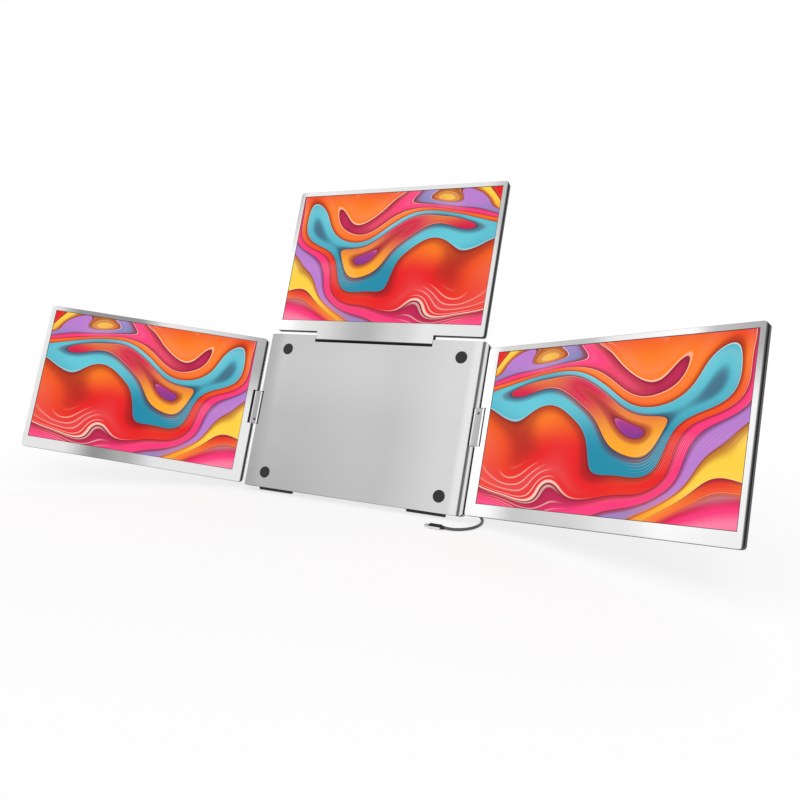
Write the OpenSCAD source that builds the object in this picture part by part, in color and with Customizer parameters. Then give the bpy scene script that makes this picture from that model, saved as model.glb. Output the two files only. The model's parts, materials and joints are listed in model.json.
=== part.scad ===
// Screen extender for a laptop: three 16 inch screens hinged on a frame that stands behind the lid.
// Millimetres. +X is the viewer's right, +Y is away from the viewer, +Z is up.
// The origin is the centre of the base, on the table.
// Every piece is drawn upright with the frame's front face at y = 0, then stood up by lean_back().

/* [Stance] */
// How far the frame leans back from upright, degrees
lean_deg = 23; // [18:1:26]
// How far both side screens are swung towards the viewer, degrees
swing_deg = 22; // [16:1:28]

/* [Screens] */
// Thickness of every screen's casing
screen_t = 10.5; // [10:0.5:11]
// Width of the lit picture
picture_w = 344.7; // [342:0.1:346]
// Height of the lit picture
picture_h = 215.4; // [213:0.1:216]
// Bezel below the picture
chin = 17.5; // [17:0.5:18.5]
// Bezel above the picture
head_bezel = 7.1; // [6.5:0.1:8]
// Bezel on the hinge side of a side screen
hinge_bezel = 17.3; // [17:0.1:19]
// Bezel on the side away from the hinge
far_bezel = 8; // [7:0.5:9]
// Bezels left and right of the top screen's picture
side_bezel_w = 8.15; // [8:0.05:9]
// Outer corner radius of a screen's casing
screen_r = 6; // [4:0.5:8]
// Thickness of the silver front part of a casing
bezel_t = 3; // [2.5:0.5:3.5]

/* [Frame] */
// How far the frame reaches past the top screen on each side
frame_wider = 9; // [8.5:0.5:11.5]
// How much taller than a screen the frame is
frame_taller = 13; // [12:1:18]
// Frame thickness, front face to back face
frame_t = 16; // [16:0.5:18]
// Thickness of the frame's front tray
front_t = 7.5; // [7.5:0.1:8]
// Width of the dark groove round the frame
groove_w = 1.5; // [1.2:0.1:1.8]
// How deep the groove lies below the frame's sides
groove_in = 1.5; // [1:0.1:2]
// Outer corner radius of the frame
frame_r = 8; // [6:1:10]

/* [Hinges] */
// Height of a side hinge block
block_h = 54; // [50:1:58]
// How far the blocks' middle is above the middle of a side screen
block_above = 5; // [2:0.5:7]
// Clear gap between two folded screens, or a screen and the frame
fold_gap = 0.7; // [0.6:0.1:1]
// From the top screen's side to its tongue
tongue_in = 79.5; // [76.5:0.5:82.5]
// Gap between the frame's top edge and the top screen
top_gap = 6.5; // [6.5:0.5:8]

/* [Stand] */
// From the frame's side to the stand's plate
stand_in = 94.5; // [92:0.5:102]
// From the frame's top edge down to the stand's hinge
stand_down = 103; // [95:1:112]
// Thickness of the stand's plate
stand_t = 3; // [2.8:0.1:3.1]

/* [Cable] */
// Diameter of the cable
cable_d = 4.2; // [3.8:0.1:4.4]

/* [Hidden] */
$fn = 48;
fine = 24;
eps = 0.01;
big = 600;

// clearances
seam = 0.15;
slot_gap = 0.8;
run_gap = 0.05;
washer_t = 0.6;

// silver and dark finishes
silver = [0.78, 0.79, 0.80];
pale = [0.84, 0.84, 0.85];
dark = [0.16, 0.16, 0.17];
black = [0.04, 0.04, 0.05];
steel = [0.62, 0.63, 0.65];
board = [0.05, 0.25, 0.14];

// casings and frame grow from the picture
screen_up = 2.5;
screen_w = hinge_bezel + picture_w + far_bezel;
screen_h = chin + picture_h + head_bezel;
top_w = picture_w + 2 * side_bezel_w;
frame_w = top_w + 2 * frame_wider;
frame_h = screen_h + frame_taller;
block_mid = screen_up + screen_h / 2 + block_above;
tongue_w = top_w - 2 * tongue_in;
stand_w = frame_w - 2 * stand_in;
stand_pivot = frame_h - stand_down;

// side 0 is the left screen and side 1 is the right one, whose longer link folds it over the left
pin_in = [4, 6];
pin_deep = [5.5, 2.5];
pin_r = [1.3, 1.3];
block_t = [7, 5];
fold_over = [fold_gap, 2 * fold_gap + screen_t];
link = [for (s = [0, 1]) 2 * pin_deep[s] + fold_over[s]];
notch_in = [for (s = [0, 1]) pin_in[s] + block_t[s] / 2 + slot_gap];
notch_h = block_h + 2 * washer_t + 2 * run_gap;
pin_x = [for (s = [0, 1]) frame_w / 2 - pin_in[s]];
pin_hold = 10;
boss_len = 14;
boss_wall = 4;

// casing
wall = 2;
plate = 1.6;
bezel_lip = 1.7;
inner_lap = 3.4;
front_soft = 0.7;
back_soft = 2.4;
block_mid_screen = block_mid - screen_up;

// display cell, backlight, board and buttons behind one another
glass_sink = 0.6;
cell_fit = 0.3;
cell_back = 3.2;
light_front = cell_back;
light_back = 6.2;
board_front = light_back;
board_t = 1;
board_w = 150;
board_h = 30;
switch_h = 0.5;
button_travel = 0.4;
button_sink = 0.2;

// screws
screw_r = 1;
head_r = 2.1;
head_h = 1.2;
screw_fit = 0.02;
pillar_r = 2.6;
pillar_back = screen_t - plate - 0.05;

// top hinge
tongue_drop = 5;
top_pin_r = 2;
top_pin_hold = 20;
tongue_r = screen_t / 2;
top_axis = frame_h - tongue_drop;
top_notch_w = tongue_w + 2 * washer_t + 2 * run_gap;
top_notch_floor = top_axis - tongue_r - 0.75;

// frame
frame_wall = 3;
frame_plate = 2;
core_t = groove_w - 2 * 0.05;
core_front = front_t + 0.05;
rear_front = front_t + groove_w;
deck = 2;
hub_t = 1.2;
hub_in = 3.3;
hub_w = 62;
hub_h = 52;
hub_low = 15;
lead_w = 6;
lead_t = 0.4;
lead_in = 29.5;
socket_n = 12.2;
socket_v = [22, 38, 56];
pad_face_r = 9;
pad_in = 39.5;
edge_in = 25;
frame_screw_in = 16;
frame_screw_z = [9, block_mid - 49.5, block_mid + 48.5, frame_h - edge_in];
core_rib = 16;
core_w = (frame_w - 67) / 3 - core_rib;
core_low = 26;
core_h = (frame_h - 77) / 2;

// stand
barrel_r = 2.6;
barrel_n = frame_t - 2.9;
recess_floor = frame_t - 3.4;
stand_len = stand_pivot - 4;
pad_r = 2.4;
pad_n = 2;
stand_gap = 0.6;
stand_window_w = 100;
stand_pin_r = 1.2;

// feet
foot_r = 3.2;
foot_n = 11.2;
foot_low = 0.6;
foot_len = 60;
foot_x = frame_w / 2 - 59.5;
lift = foot_n * sin(lean_deg) + foot_low * cos(lean_deg) + foot_r;

// moves the drawing so that the middle of its base is the origin
base_x = -1.045;
base_y = -37.59;

// opening angle that brings the stand's pad down on the table
pivot_z = lift + stand_pivot * cos(lean_deg) - barrel_n * sin(lean_deg);
pad_reach = sqrt(stand_len * stand_len + pad_n * pad_n);
stand_open = acos((pivot_z - pad_r) / pad_reach) + lean_deg - atan(pad_n / stand_len);

// cable: it leaves the frame's right side and lies on the table, metres of the same points in the scene
sleeve_r = 2.6;
sleeve_n = 12.9;
sleeve_v = 9;
sleeve_out = 3.6;
sleeve_in = 4;
rings_per_span = 6;
cable_sides = 10;
cable_start = stood([frame_w / 2 + sleeve_out, sleeve_n, sleeve_v]);
plug_z = 3;
plug_w = 11;
plug_t = 6;
plug_len = 17;
plug_boot_len = 5;
plug_boot_r = 2.7;
plug_tip_len = 6.6;
plug_tip_w = 8.3;
plug_tip_t = 2.5;
plug_x = cable_start[0] - 36.6;
plug_y = cable_start[1] - 53.8;
plug_tail = [plug_x + plug_len + plug_boot_len, plug_y, plug_z];
cable_path = [
    cable_start,
    off_sleeve(9.4, 3.2, 9.2),
    off_sleeve(17.4, 2.7, 4.9),
    off_sleeve(22.9, -6.8, 2.6),
    off_sleeve(23.9, -21.3, 2.2),
    off_sleeve(18.9, -36.3, 2.2),
    off_sleeve(8.4, -47.3, 2.2),
    off_sleeve(-3.6, -52.9, 2.5),
    plug_tail
];

// a point of the upright drawing, after the frame is stood up
function stood(p) = [
    base_x + p[0],
    base_y + p[1] * cos(lean_deg) + p[2] * sin(lean_deg),
    lift - p[1] * sin(lean_deg) + p[2] * cos(lean_deg)
];

// a point of the cable, from where it leaves its sleeve; z is its height above the table
function off_sleeve(x, y, z) = [cable_start[0] + x, cable_start[1] + y, z];

// ---- drawing aids ----

// extrude a flat outline (x, z) backwards
module along_y(t) {
    mirror([0, 1, 0]) rotate([90, 0, 0]) linear_extrude(t) children();
}

// extrude a flat outline (y, z) to the right
module along_x(w) {
    rotate([90, 0, 90]) linear_extrude(w) children();
}

// box from a low corner
module box(x, y, z, w, t, h) {
    translate([x, y, z]) cube([w, t, h]);
}

// cylinder along x, middle of its axis at a point
module rod_x(x, y, z, len, r) {
    translate([x - len / 2, y, z]) rotate([0, 90, 0]) cylinder(h = len, r = r);
}

// cylinder pointing backwards from a point
module rod_y(x, y, z, len, r) {
    translate([x, y, z]) rotate([-90, 0, 0]) cylinder(h = len, r = r);
}

// rounded rectangle from its low corner
module round_rect(w, h, r) {
    translate([r, 0]) square([w - 2 * r, h]);
    translate([0, r]) square([w, h - 2 * r]);
    for (x = [r, w - r], y = [r, h - r]) translate([x, y]) circle(r);
}

// a flat pill, middle at the origin
module pill(w, h) {
    square([w - h, h], center = true);
    for (s = [-1, 1]) translate([s * (w - h) / 2, 0]) circle(h / 2, $fn = fine);
}

// section of a slab: front edges rounded by a little, back edges by more
module soft_profile(t, h, f, b) {
    translate([f, 0]) square([t - f - b, h]);
    translate([0, f]) square([t / 2, h - 2 * f]);
    translate([t / 2, b]) square([t / 2, h - 2 * b]);
    for (z = [f, h - f]) translate([f, z]) circle(f, $fn = fine);
    for (z = [b, h - b]) translate([t - b, z]) circle(b, $fn = fine);
}

// slab with rounded corners and softened edges, low front corner at the origin
module soft_slab(w, t, h, r, f, b) {
    intersection() {
        along_y(t) round_rect(w, h, r);
        along_x(w) soft_profile(t, h, f, b);
        linear_extrude(h) mirror([1, -1]) soft_profile(t, w, f, b);
    }
}

// a row of slots through a plate
module slot_row(count, pitch, w, h, t) {
    for (i = [0 : count - 1]) translate([(i - (count - 1) / 2) * pitch, 0, 0])
        along_y(t) rotate([0, 0, 90]) pill(h, w);
}

// ---- placing ----

// lean the frame and everything on it back from upright
module lean_back() {
    translate([base_x, base_y, lift]) rotate([-lean_deg, 0, 0]) children();
}

// side 1 is drawn as it stands, side 0 is its mirror image
module on_side(s) {
    lean_back() mirror([1 - s, 0, 0]) children();
}

// the link's own place: its frame pin is the origin
module at_link(s) {
    on_side(s) translate([pin_x[s], pin_deep[s], 0]) rotate([0, 0, -swing_deg]) children();
}

// a side screen's own place: low front corner on the hinge side
module at_screen(s) {
    at_link(s) translate([link[s] - pin_in[s], -pin_deep[s], screen_up]) children();
}

// the top screen's own place
module at_top() {
    lean_back() translate([-top_w / 2, 0, frame_h + top_gap]) children();
}

// ---- one screen, w wide, its picture starting at px ----

module casing(w) {
    soft_slab(w, screen_t, screen_h, screen_r, front_soft, back_soft);
}

// the notch for a hinge block, side s
module screen_notch(s) {
    box(-1, -1, block_mid_screen - notch_h / 2, notch_in[s] + 1, screen_t + 2, notch_h);
}

module screw_spots(w) {
    for (x = [24, w / 2, w - 24]) translate([x, 0, 7.2]) children();
}

// silver front: bezel, lip round the picture and screw pillars
module bezel(w, px) {
    difference() {
        intersection() {
            casing(w);
            box(-1, -1, -1, w + 2, bezel_t + 1, screen_h + 2);
        }
        box(px, -1, chin, picture_w, bezel_t + 2, picture_h);
        box(wall, bezel_lip, wall, w - 2 * wall, bezel_t, screen_h - 2 * wall);
    }
    difference() {
        screw_spots(w) rod_y(0, bezel_lip - eps, 0, pillar_back - bezel_lip, pillar_r);
        screw_spots(w) rod_y(0, 3, 0, 8, screw_r);
    }
}

// what carries a screen's hinge pin, behind the bezel
module screen_boss(s) {
    x1 = notch_in[s] + boss_wall;
    h = notch_h + 2 * boss_len;
    difference() {
        box(wall + seam, plate, block_mid_screen - h / 2, x1 - wall - seam, 7.1, h);
        screen_notch(s);
    }
}

module side_bezel(s) {
    difference() {
        union() {
            bezel(screen_w, hinge_bezel);
            screen_boss(s);
        }
        screen_notch(s);
        translate([pin_in[s], pin_deep[s], block_mid_screen - notch_h / 2 - pin_hold])
            cylinder(h = notch_h + 2 * pin_hold, r = pin_r[s]);
    }
}

// dark back: tray with vents, sound slots, button holes and screw seats
module back_cover(w) {
    floor_n = screen_t - plate;
    difference() {
        intersection() {
            casing(w);
            box(-1, bezel_t + seam, -1, w + 2, screen_t, screen_h + 2);
        }
        box(wall, bezel_t - 1, wall, w - 2 * wall, floor_n - bezel_t + 1, screen_h - 2 * wall);
        translate([w / 2, floor_n - 1, screen_h - 16]) slot_row(33, 6, 1.6, 9, 4);
        for (x = [60, w - 128]) translate([x, floor_n - 1, 22]) slot_row(9, 4, 1.4, 10, 4);
        screw_spots(w) rod_y(0, floor_n - 1, 0, 4, screw_r + 0.15);
        screw_spots(w) rod_y(0, screen_t - head_h - 0.1, 0, 4, head_r + 0.15);
        at_power(w) along_y(5) pill(12.6, 5.6);
        at_rocker(w) along_y(5) pill(24.8, 6.8);
        // shallow field across the middle of the back
        translate([40, screen_t - 0.5, 60]) along_y(2) round_rect(w - 80, screen_h - 110, 10);
    }
}

// button places, a little inside the back plate
module at_power(w) {
    translate([w - 34, screen_t - plate - 1, 26]) children();
}

module at_rocker(w) {
    translate([w - 64, screen_t - plate - 1, 26]) children();
}

module power_button(w) {
    at_power(w) {
        translate([0, 0.9, 0]) along_y(plate + 0.1 - button_sink) pill(12, 5);
        translate([0, 0.4, 0]) along_y(0.55) pill(14, 7);
    }
}

module rocker(w) {
    // round stubs above and below, on the axis that it tips about
    at_rocker(w) translate([0, 1.2, -3.2]) cylinder(h = 6.4, r = 0.5);
    at_rocker(w) difference() {
        translate([0, 0.4, 0]) along_y(plate + 0.6 - button_sink) pill(24, 6);
        // finger dip between the two ends
        translate([0, plate + 2.6, 0]) cylinder(h = 10, r = 2, center = true);
    }
}

module display(px) {
    fit = cell_fit;
    box(px + fit, glass_sink, chin + fit, picture_w - 2 * fit, bezel_lip - glass_sink + eps,
        picture_h - 2 * fit);
    box(px - inner_lap, bezel_lip, chin - inner_lap, picture_w + 2 * inner_lap,
        cell_back - bezel_lip, picture_h + 2 * inner_lap);
}

module backlight(px) {
    w = picture_w + 2 * inner_lap;
    h = picture_h + 2 * inner_lap;
    across = (w - 15.5) / 4;
    up = (h - 18.2) / 2;
    difference() {
        box(px - inner_lap, light_front, chin - inner_lap, w, light_back - light_front, h);
        // pressed stiffening fields in the tray
        for (i = [0 : 3], j = [0, 1])
            box(px + 8 + i * across, light_back - 0.6, chin + 10 + j * up, across - 8, 2, up - 10);
    }
}

module driver_board(w) {
    x0 = w - 30 - board_w;
    z0 = 26 - board_h / 2;
    box(x0, board_front, z0 + 4, board_w, board_t, board_h);
    // switches under the buttons
    at_power(w) box(-2, board_front + board_t - screen_t + plate + 1, -2, 4, switch_h, 4);
    at_rocker(w) for (s = [-1, 1])
        box(s * 8 - 1.5, board_front + board_t - screen_t + plate + 1, -1.5, 3, 0.3, 3);
    // chips and two lead sockets
    for (i = [0 : 2]) box(x0 + 10 + i * 22, board_front + board_t, z0 + 10, 12, 0.9, 12);
    for (i = [0, 1]) box(x0 + 8 + i * 34, board_front + board_t, z0 + 27, 22, 1.2, 5);
}

module screen_screws(w) {
    screw_spots(w) {
        rod_y(0, screen_t - head_h - 0.1, 0, head_h, head_r);
        rod_y(0, 4.5, 0, screen_t - head_h - 4.5, screw_r - screw_fit);
    }
}

// ---- side hinges ----

// link block: two bores, a flat front and rounded ends that turn in the notches
module hinge_block(s) {
    r = block_t[s] / 2;
    z0 = block_mid - block_h / 2;
    difference() {
        translate([0, 0, z0]) linear_extrude(block_h) {
            translate([0, -r]) square([link[s], 2 * r]);
            circle(r);
            translate([link[s], 0]) circle(r);
        }
        for (x = [0, link[s]]) translate([x, 0, z0 - 1])
            cylinder(h = block_h + 2, r = pin_r[s] + run_gap);
        translate([link[s] / 2, -r - 1, block_screw_z(s)]) rod_y(0, 0, 0, 2.2, head_r + 0.1);
        // relief pocket behind
        box(link[s] / 2 - 1.5, r - 1, z0 + 6, 3, 2, block_h - 12);
    }
}

function block_screw_z(s) = block_mid + (s == 0 ? -1 : 1) * (block_h / 2 - 7);

module block_screw(s) {
    translate([link[s] / 2, -block_t[s] / 2 + 0.1, block_screw_z(s)]) difference() {
        rod_y(0, 0, 0, 1.1, head_r);
        rod_y(0, -1, 0, 1.6, 0.9, $fn = 6);
    }
}

module pin_at(s) {
    translate([0, 0, block_mid - notch_h / 2 - pin_hold + 0.2])
        cylinder(h = notch_h + 2 * pin_hold - 0.4, r = pin_r[s]);
}

module washers_at(s) {
    for (z = [block_mid - notch_h / 2, block_mid + block_h / 2 + run_gap])
        translate([0, 0, z]) difference() {
            cylinder(h = washer_t, r = block_t[s] / 2 - 0.1);
            translate([0, 0, -1]) cylinder(h = washer_t + 2, r = pin_r[s]);
        }
}

// ---- frame ----

module frame_slab() {
    translate([-frame_w / 2, 0, 0]) soft_slab(frame_w, frame_t, frame_h, frame_r, 0.8, 2.5);
}

// open spaces through the frame for the two link blocks and the tongue
module frame_notches() {
    for (s = [0, 1]) mirror([1 - s, 0, 0])
        box(frame_w / 2 - notch_in[s], -1, block_mid - notch_h / 2, notch_in[s] + 1, frame_t + 2,
            notch_h);
    box(-top_notch_w / 2, -1, top_notch_floor, top_notch_w, frame_t + 2, frame_h);
}

// flat outline of the hollow inside the frame: grow is the wall left round each notch
module hollow_outline(grow, tall) {
    difference() {
        translate([-frame_w / 2 + frame_wall, frame_wall])
            round_rect(frame_w - 2 * frame_wall, frame_h - 2 * frame_wall, frame_r - frame_wall);
        for (s = [0, 1]) mirror([1 - s, 0])
            translate([frame_w / 2 - notch_in[s] - grow, block_mid - notch_h / 2 - tall])
                square([notch_in[s] + grow + 1, notch_h + 2 * tall]);
        translate([-top_notch_w / 2 - 2 * tall, top_notch_floor - grow])
            square([top_notch_w + 4 * tall, frame_h]);
    }
}

// places of the frame's screws
module frame_screw_spots() {
    for (s = [-1, 1], z = frame_screw_z) translate([s * (frame_w / 2 - frame_screw_in), 0, z])
        children();
}

// silver front tray
module tray() {
    difference() {
        intersection() {
            frame_slab();
            box(-big / 2, -1, -1, big, front_t + 1, frame_h + 2);
        }
        translate([0, frame_plate, 0]) along_y(frame_t) hollow_outline(3, boss_len);
        frame_notches();
        for (s = [0, 1]) mirror([1 - s, 0, 0])
            translate([pin_x[s], pin_deep[s], block_mid - notch_h / 2 - pin_hold])
                cylinder(h = notch_h + 2 * pin_hold, r = pin_r[s]);
        rod_x(0, tongue_r, top_axis, top_notch_w + 2 * top_pin_hold, top_pin_r);
        pad_spots() rod_y(0, -1, 0, 1.8, pad_face_r + 0.2);
    }
    difference() {
        frame_screw_spots() rod_y(0, frame_plate - eps, 0, front_t - frame_plate, 3.4);
        frame_screw_spots() rod_y(0, frame_plate + 1.5, 0, front_t, 1.25);
    }
}

module pad_spots() {
    for (s = [-1, 1], z = [edge_in - 1, frame_h - edge_in])
        translate([s * (frame_w / 2 - pad_in), 0, z]) children();
}

// dark steel plate between the two trays, seen in the groove
module core_plate() {
    difference() {
        translate([-frame_w / 2 + groove_in, core_front, groove_in]) along_y(core_t)
            round_rect(frame_w - 2 * groove_in, frame_h - 2 * groove_in, frame_r - groove_in);
        frame_notches();
        for (i = [-1, 0, 1], j = [0, 1])
            translate([i * (core_w + core_rib) - core_w / 2, 0, core_low + j * (core_h + 18)])
                along_y(frame_t) round_rect(core_w, core_h, 8);
        for (s = [-1, 1]) translate([s * (frame_w / 2 - 21.5) - 8, 0, 24])
            along_y(frame_t) round_rect(16, 40, 6);
        frame_screw_spots() rod_y(0, 0, 0, frame_t, 1.6);
        // room for the block pins' sides
        for (s = [0, 1]) mirror([1 - s, 0, 0])
            box(frame_w / 2 - notch_in[s] - 0.5, 0, block_mid - notch_h / 2 - 0.5,
                notch_in[s] + 2, frame_t, notch_h + 1);
    }
}

// the outline kept solid round the stand
module stand_zone(grow) {
    translate([-stand_w / 2 - grow, -1]) square([stand_w + 2 * grow, stand_pivot + 6 + grow + 1]);
}

// back tray with the stand's recess, socket mouths and cable hole
module back_tray() {
    difference() {
        intersection() {
            frame_slab();
            box(-big / 2, rear_front, -1, big, frame_t, frame_h + 2);
        }
        frame_notches();
        // hollow over the whole tray, but for the block that carries the stand's pins
        translate([0, rear_front - 1, 0]) along_y(1 + deck) difference() {
            hollow_outline(3, 3);
            translate([-stand_w / 2 - 14, stand_pivot - 8]) square([stand_w + 28, 16]);
            frame_wells();
        }
        // deeper hollow beside and above the stand
        translate([0, rear_front, 0]) along_y(frame_t - frame_plate - rear_front) difference() {
            hollow_outline(3, 3);
            stand_zone(14);
            frame_wells();
        }
        box(-stand_w / 2 - stand_gap, recess_floor, -1, stand_w + 2 * stand_gap, 10,
            stand_pivot + 1);
        rod_x(0, barrel_n, stand_pivot, stand_w + 2 * stand_gap, barrel_r + 0.4);
        box(-stand_w / 2 - stand_gap, barrel_n, stand_pivot, stand_w + 2 * stand_gap, 10,
            barrel_r + 0.4);
        rod_x(0, barrel_n, stand_pivot, stand_w + 24, stand_pin_r);
        // thumb scoop beside the stand's lower end
        translate([-stand_w / 2 - 4, frame_t + 5, 22]) sphere(r = 11);
        for (i = [0 : 1]) translate([-frame_w / 2 - 1, socket_n, socket_v[i]])
            along_x(frame_wall + 3) rotate([0, 0, 90]) pill(9.4, 3.6);
        translate([-frame_w / 2 - 1, socket_n, socket_v[2]]) along_x(frame_wall + 3)
            square([3.8, 11.8], center = true);
        rod_x(frame_w / 2, sleeve_n, sleeve_v, 2 * sleeve_in, sleeve_r);
        frame_screw_spots() rod_y(0, 0, 0, frame_t + 1, 1.4);
        frame_screw_spots() rod_y(0, frame_t - 1.6, 0, 3, head_r + 0.35);
        for (s = [-1, 1]) translate([s * (frame_w / 2 - 49.5), frame_t - 4, frame_h - 57])
            slot_row(7, 5, 1.6, 22, 6);
    }
}

// solid posts round the frame's screws
module frame_wells() {
    for (s = [-1, 1], z = frame_screw_z) translate([s * (frame_w / 2 - frame_screw_in), z])
        circle(4);
}

module screws_of_frame() {
    frame_screw_spots() {
        rod_y(0, frame_t - 1.6, 0, 1.4, head_r + 0.2);
        rod_y(0, frame_plate + 2, 0, frame_t - 1.6 - frame_plate - 2, 1.25 - screw_fit);
    }
}

module pads_of_lid() {
    pad_spots() rod_y(0, -0.4, 0, 1.2, pad_face_r);
}

module board_of_hub() {
    translate([-frame_w / 2, rear_front, 0]) {
        box(hub_in, 0, hub_low, hub_w, hub_t, hub_h);
        for (i = [0 : 2]) box(lead_in + i * 14, hub_t, 22, 10, 0.6, 10);
        box(lead_in + 2, hub_t, 42, 30, 0.6, 16);
    }
}

module sockets_of_hub() {
    x0 = -frame_w / 2 + 0.6;
    for (i = [0 : 1]) translate([x0, socket_n, socket_v[i]]) difference() {
        along_x(8.2) rotate([0, 0, 90]) pill(8.9, 3.2);
        translate([-1, 0, 0]) along_x(7.5) rotate([0, 0, 90]) pill(8.3, 2.6);
    }
    for (i = [0 : 1]) box(x0 + 1, socket_n - 0.35, socket_v[i] - 3, 6, 0.7, 6);
    translate([x0, socket_n, socket_v[2]]) difference() {
        along_x(8.2) square([3.4, 11.4], center = true);
        translate([-1, 0, 0]) along_x(7.5) square([2.8, 10.8], center = true);
    }
    box(x0 + 1, socket_n - 0.4, socket_v[2] - 4, 6, 0.8, 8);
    // feet of the sockets, down on the board
    for (v = socket_v)
        box(x0 + 3.4, rear_front + hub_t, v - 3, 4.6, socket_n - 1.2 - rear_front - hub_t, 6);
}

// flat leads from the board to the three hinges
module leads() {
    n = rear_front;
    x0 = -frame_w / 2 + hub_in + hub_w;
    x1 = frame_w / 2 - lead_in + lead_w;
    z0 = hub_low + hub_h;
    z1 = frame_h - 17;
    box(-frame_w / 2 + lead_in, n, z0, lead_w, lead_t, 24);
    box(x0, n, z0 - 7, x1 - x0, lead_t, lead_w);
    box(x1 - lead_w, n, z0 - 1, lead_w, lead_t, 24);
    box(x0, n, z0 - 1, lead_w, lead_t, z1 - z0 + 1);
    box(x0 + lead_w, n, z1 - lead_w, -tongue_w / 2 + 8.8 - x0 - lead_w, lead_t, lead_w);
}

// ---- stand ----

// stand in its closed place: hinge axis at the origin
module at_stand() {
    lean_back() translate([0, barrel_n, stand_pivot]) rotate([stand_open, 0, 0]) children();
}

module plate_of_stand() {
    difference() {
        union() {
            rod_x(0, 0, 0, stand_w, barrel_r);
            box(-stand_w / 2, -0.1, -stand_len + 1.4, stand_w, stand_t, stand_len - 1.4);
        }
        rod_x(0, 0, 0, stand_w + 2, stand_pin_r + run_gap);
        // window that lightens the plate, with rounded corners
        translate([-stand_window_w / 2, -5, -stand_len + 32])
            along_y(12) round_rect(stand_window_w, stand_len - 62, 10);
    }
}

module pad_of_stand() {
    intersection() {
        rod_x(0, pad_n, -stand_len, stand_w, pad_r);
        box(-big / 2, -10, -stand_len - 10, big, 20, 11.4);
    }
}

module pins_of_stand() {
    for (s = [-1, 1]) translate([s * (stand_w / 2 + 1.5), 0, 0]) rod_x(0, 0, 0, 20, stand_pin_r);
}

// ---- top screen ----

module tongue() {
    x0 = (top_w - tongue_w) / 2;
    low = -top_gap - tongue_drop;
    difference() {
        union() {
            box(x0, 0, low, tongue_w, screen_t, -low - seam);
            box(x0, 0, -1, tongue_w, bezel_t - seam, 3);
            rod_x(top_w / 2, tongue_r, low, tongue_w, tongue_r);
        }
        rod_x(top_w / 2, tongue_r, low, tongue_w + 2, top_pin_r + run_gap);
    }
}

module pins_of_top() {
    len = top_pin_hold + 24;
    for (s = [-1, 1])
        rod_x(s * (top_notch_w / 2 + top_pin_hold - 0.2 - len / 2), tongue_r, top_axis, len,
            top_pin_r);
}

module washers_of_top() {
    for (s = [-1, 1]) difference() {
        rod_x(s * (top_notch_w / 2 - washer_t / 2), tongue_r, top_axis, washer_t, tongue_r - 0.3);
        rod_x(s * top_notch_w / 2, tongue_r, top_axis, 4, top_pin_r);
    }
}

// ---- cable ----

// Catmull-Rom curve through the path's points
function spline(a, b, c, d, t) = 0.5 * (2 * b + (c - a) * t + (2 * a - 5 * b + 4 * c - d) * t * t
    + (3 * b - a - 3 * c + d) * t * t * t);
function path_at(p, i) = p[max(0, min(len(p) - 1, i))];
function before_path(p) = 2 * p[0] - p[1];
function after_path(p) = 2 * p[len(p) - 1] - p[len(p) - 2];
function span_point(p, i, t) = spline(i == 0 ? before_path(p) : p[i - 1], p[i], p[i + 1],
    i + 2 > len(p) - 1 ? after_path(p) : p[i + 2], t);
function smooth(p, n) = concat(
    [for (i = [0 : len(p) - 2], k = [0 : n - 1]) span_point(p, i, k / n)], [p[len(p) - 1]]);
function unit(v) = v / norm(v);
function heading(p, i) = i == 0 ? [1, 0, 0]
    : i == len(p) - 1 ? [-1, 0, 0] : unit(p[i + 1] - p[i - 1]);
function ring(p, i, r, n) = let (
    h = heading(p, i), a = unit(cross(h, [0, 0, 1])), b = cross(a, h)
) [for (k = [0 : n - 1]) p[i] + r * (cos(360 * k / n) * a + sin(360 * k / n) * b)];

module tube(path, r, n) {
    rings = len(path);
    corners = [for (i = [0 : rings - 1]) each ring(path, i, r, n)];
    sides = [for (i = [0 : rings - 2], k = [0 : n - 1])
        let (m = (k + 1) % n) [i * n + k, (i + 1) * n + k, (i + 1) * n + m, i * n + m]];
    first = [for (k = [0 : n - 1]) k];
    last = [for (k = [n - 1 : -1 : 0]) (rings - 1) * n + k];
    polyhedron(points = corners, faces = concat(sides, [first, last]), convexity = 6);
}

module usb_tip(len, w, t) {
    difference() {
        along_x(len + 1) pill(w, t);
        translate([-1, 0, 0]) along_x(len) pill(w - 0.7, t - 0.7);
    }
}

// ---- nodes ----

module frame_front() { color(silver) lean_back() tray(); }
module frame_core() { color(dark) lean_back() core_plate(); }
module frame_back() { color(pale) lean_back() back_tray(); }
module frame_feet() {
    color(black) lean_back() for (s = [-1, 1]) intersection() {
        rod_x(s * foot_x, foot_n, -foot_low, foot_len, foot_r);
        box(-big / 2, 0, -20, big, frame_t, 20);
    }
}
module frame_screws() { color(steel) lean_back() screws_of_frame(); }
module lid_pads() { color(black) lean_back() pads_of_lid(); }
module hub_board() { color(board) lean_back() board_of_hub(); }
module hub_sockets() { color(steel) lean_back() sockets_of_hub(); }
module ribbon_leads() { color(black) lean_back() leads(); }

module stand_plate() { color(pale) at_stand() plate_of_stand(); }
module stand_pins() { color(steel) at_stand() pins_of_stand(); }
module stand_pad() { color(black) at_stand() pad_of_stand(); }

module left_frame_pin() { color(steel) at_link(0) pin_at(0); }
module right_frame_pin() { color(steel) at_link(1) pin_at(1); }
module top_hinge_pins() { color(steel) lean_back() pins_of_top(); }
module top_hinge_washers() { color(steel) lean_back() washers_of_top(); }
module left_frame_washers() { color(steel) at_link(0) washers_at(0); }
module right_frame_washers() { color(steel) at_link(1) washers_at(1); }
module left_hinge_block() { color(pale) at_link(0) hinge_block(0); }
module left_block_screw() { color(steel) at_link(0) block_screw(0); }
module right_hinge_block() { color(pale) at_link(1) hinge_block(1); }
module right_block_screw() { color(steel) at_link(1) block_screw(1); }

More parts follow.
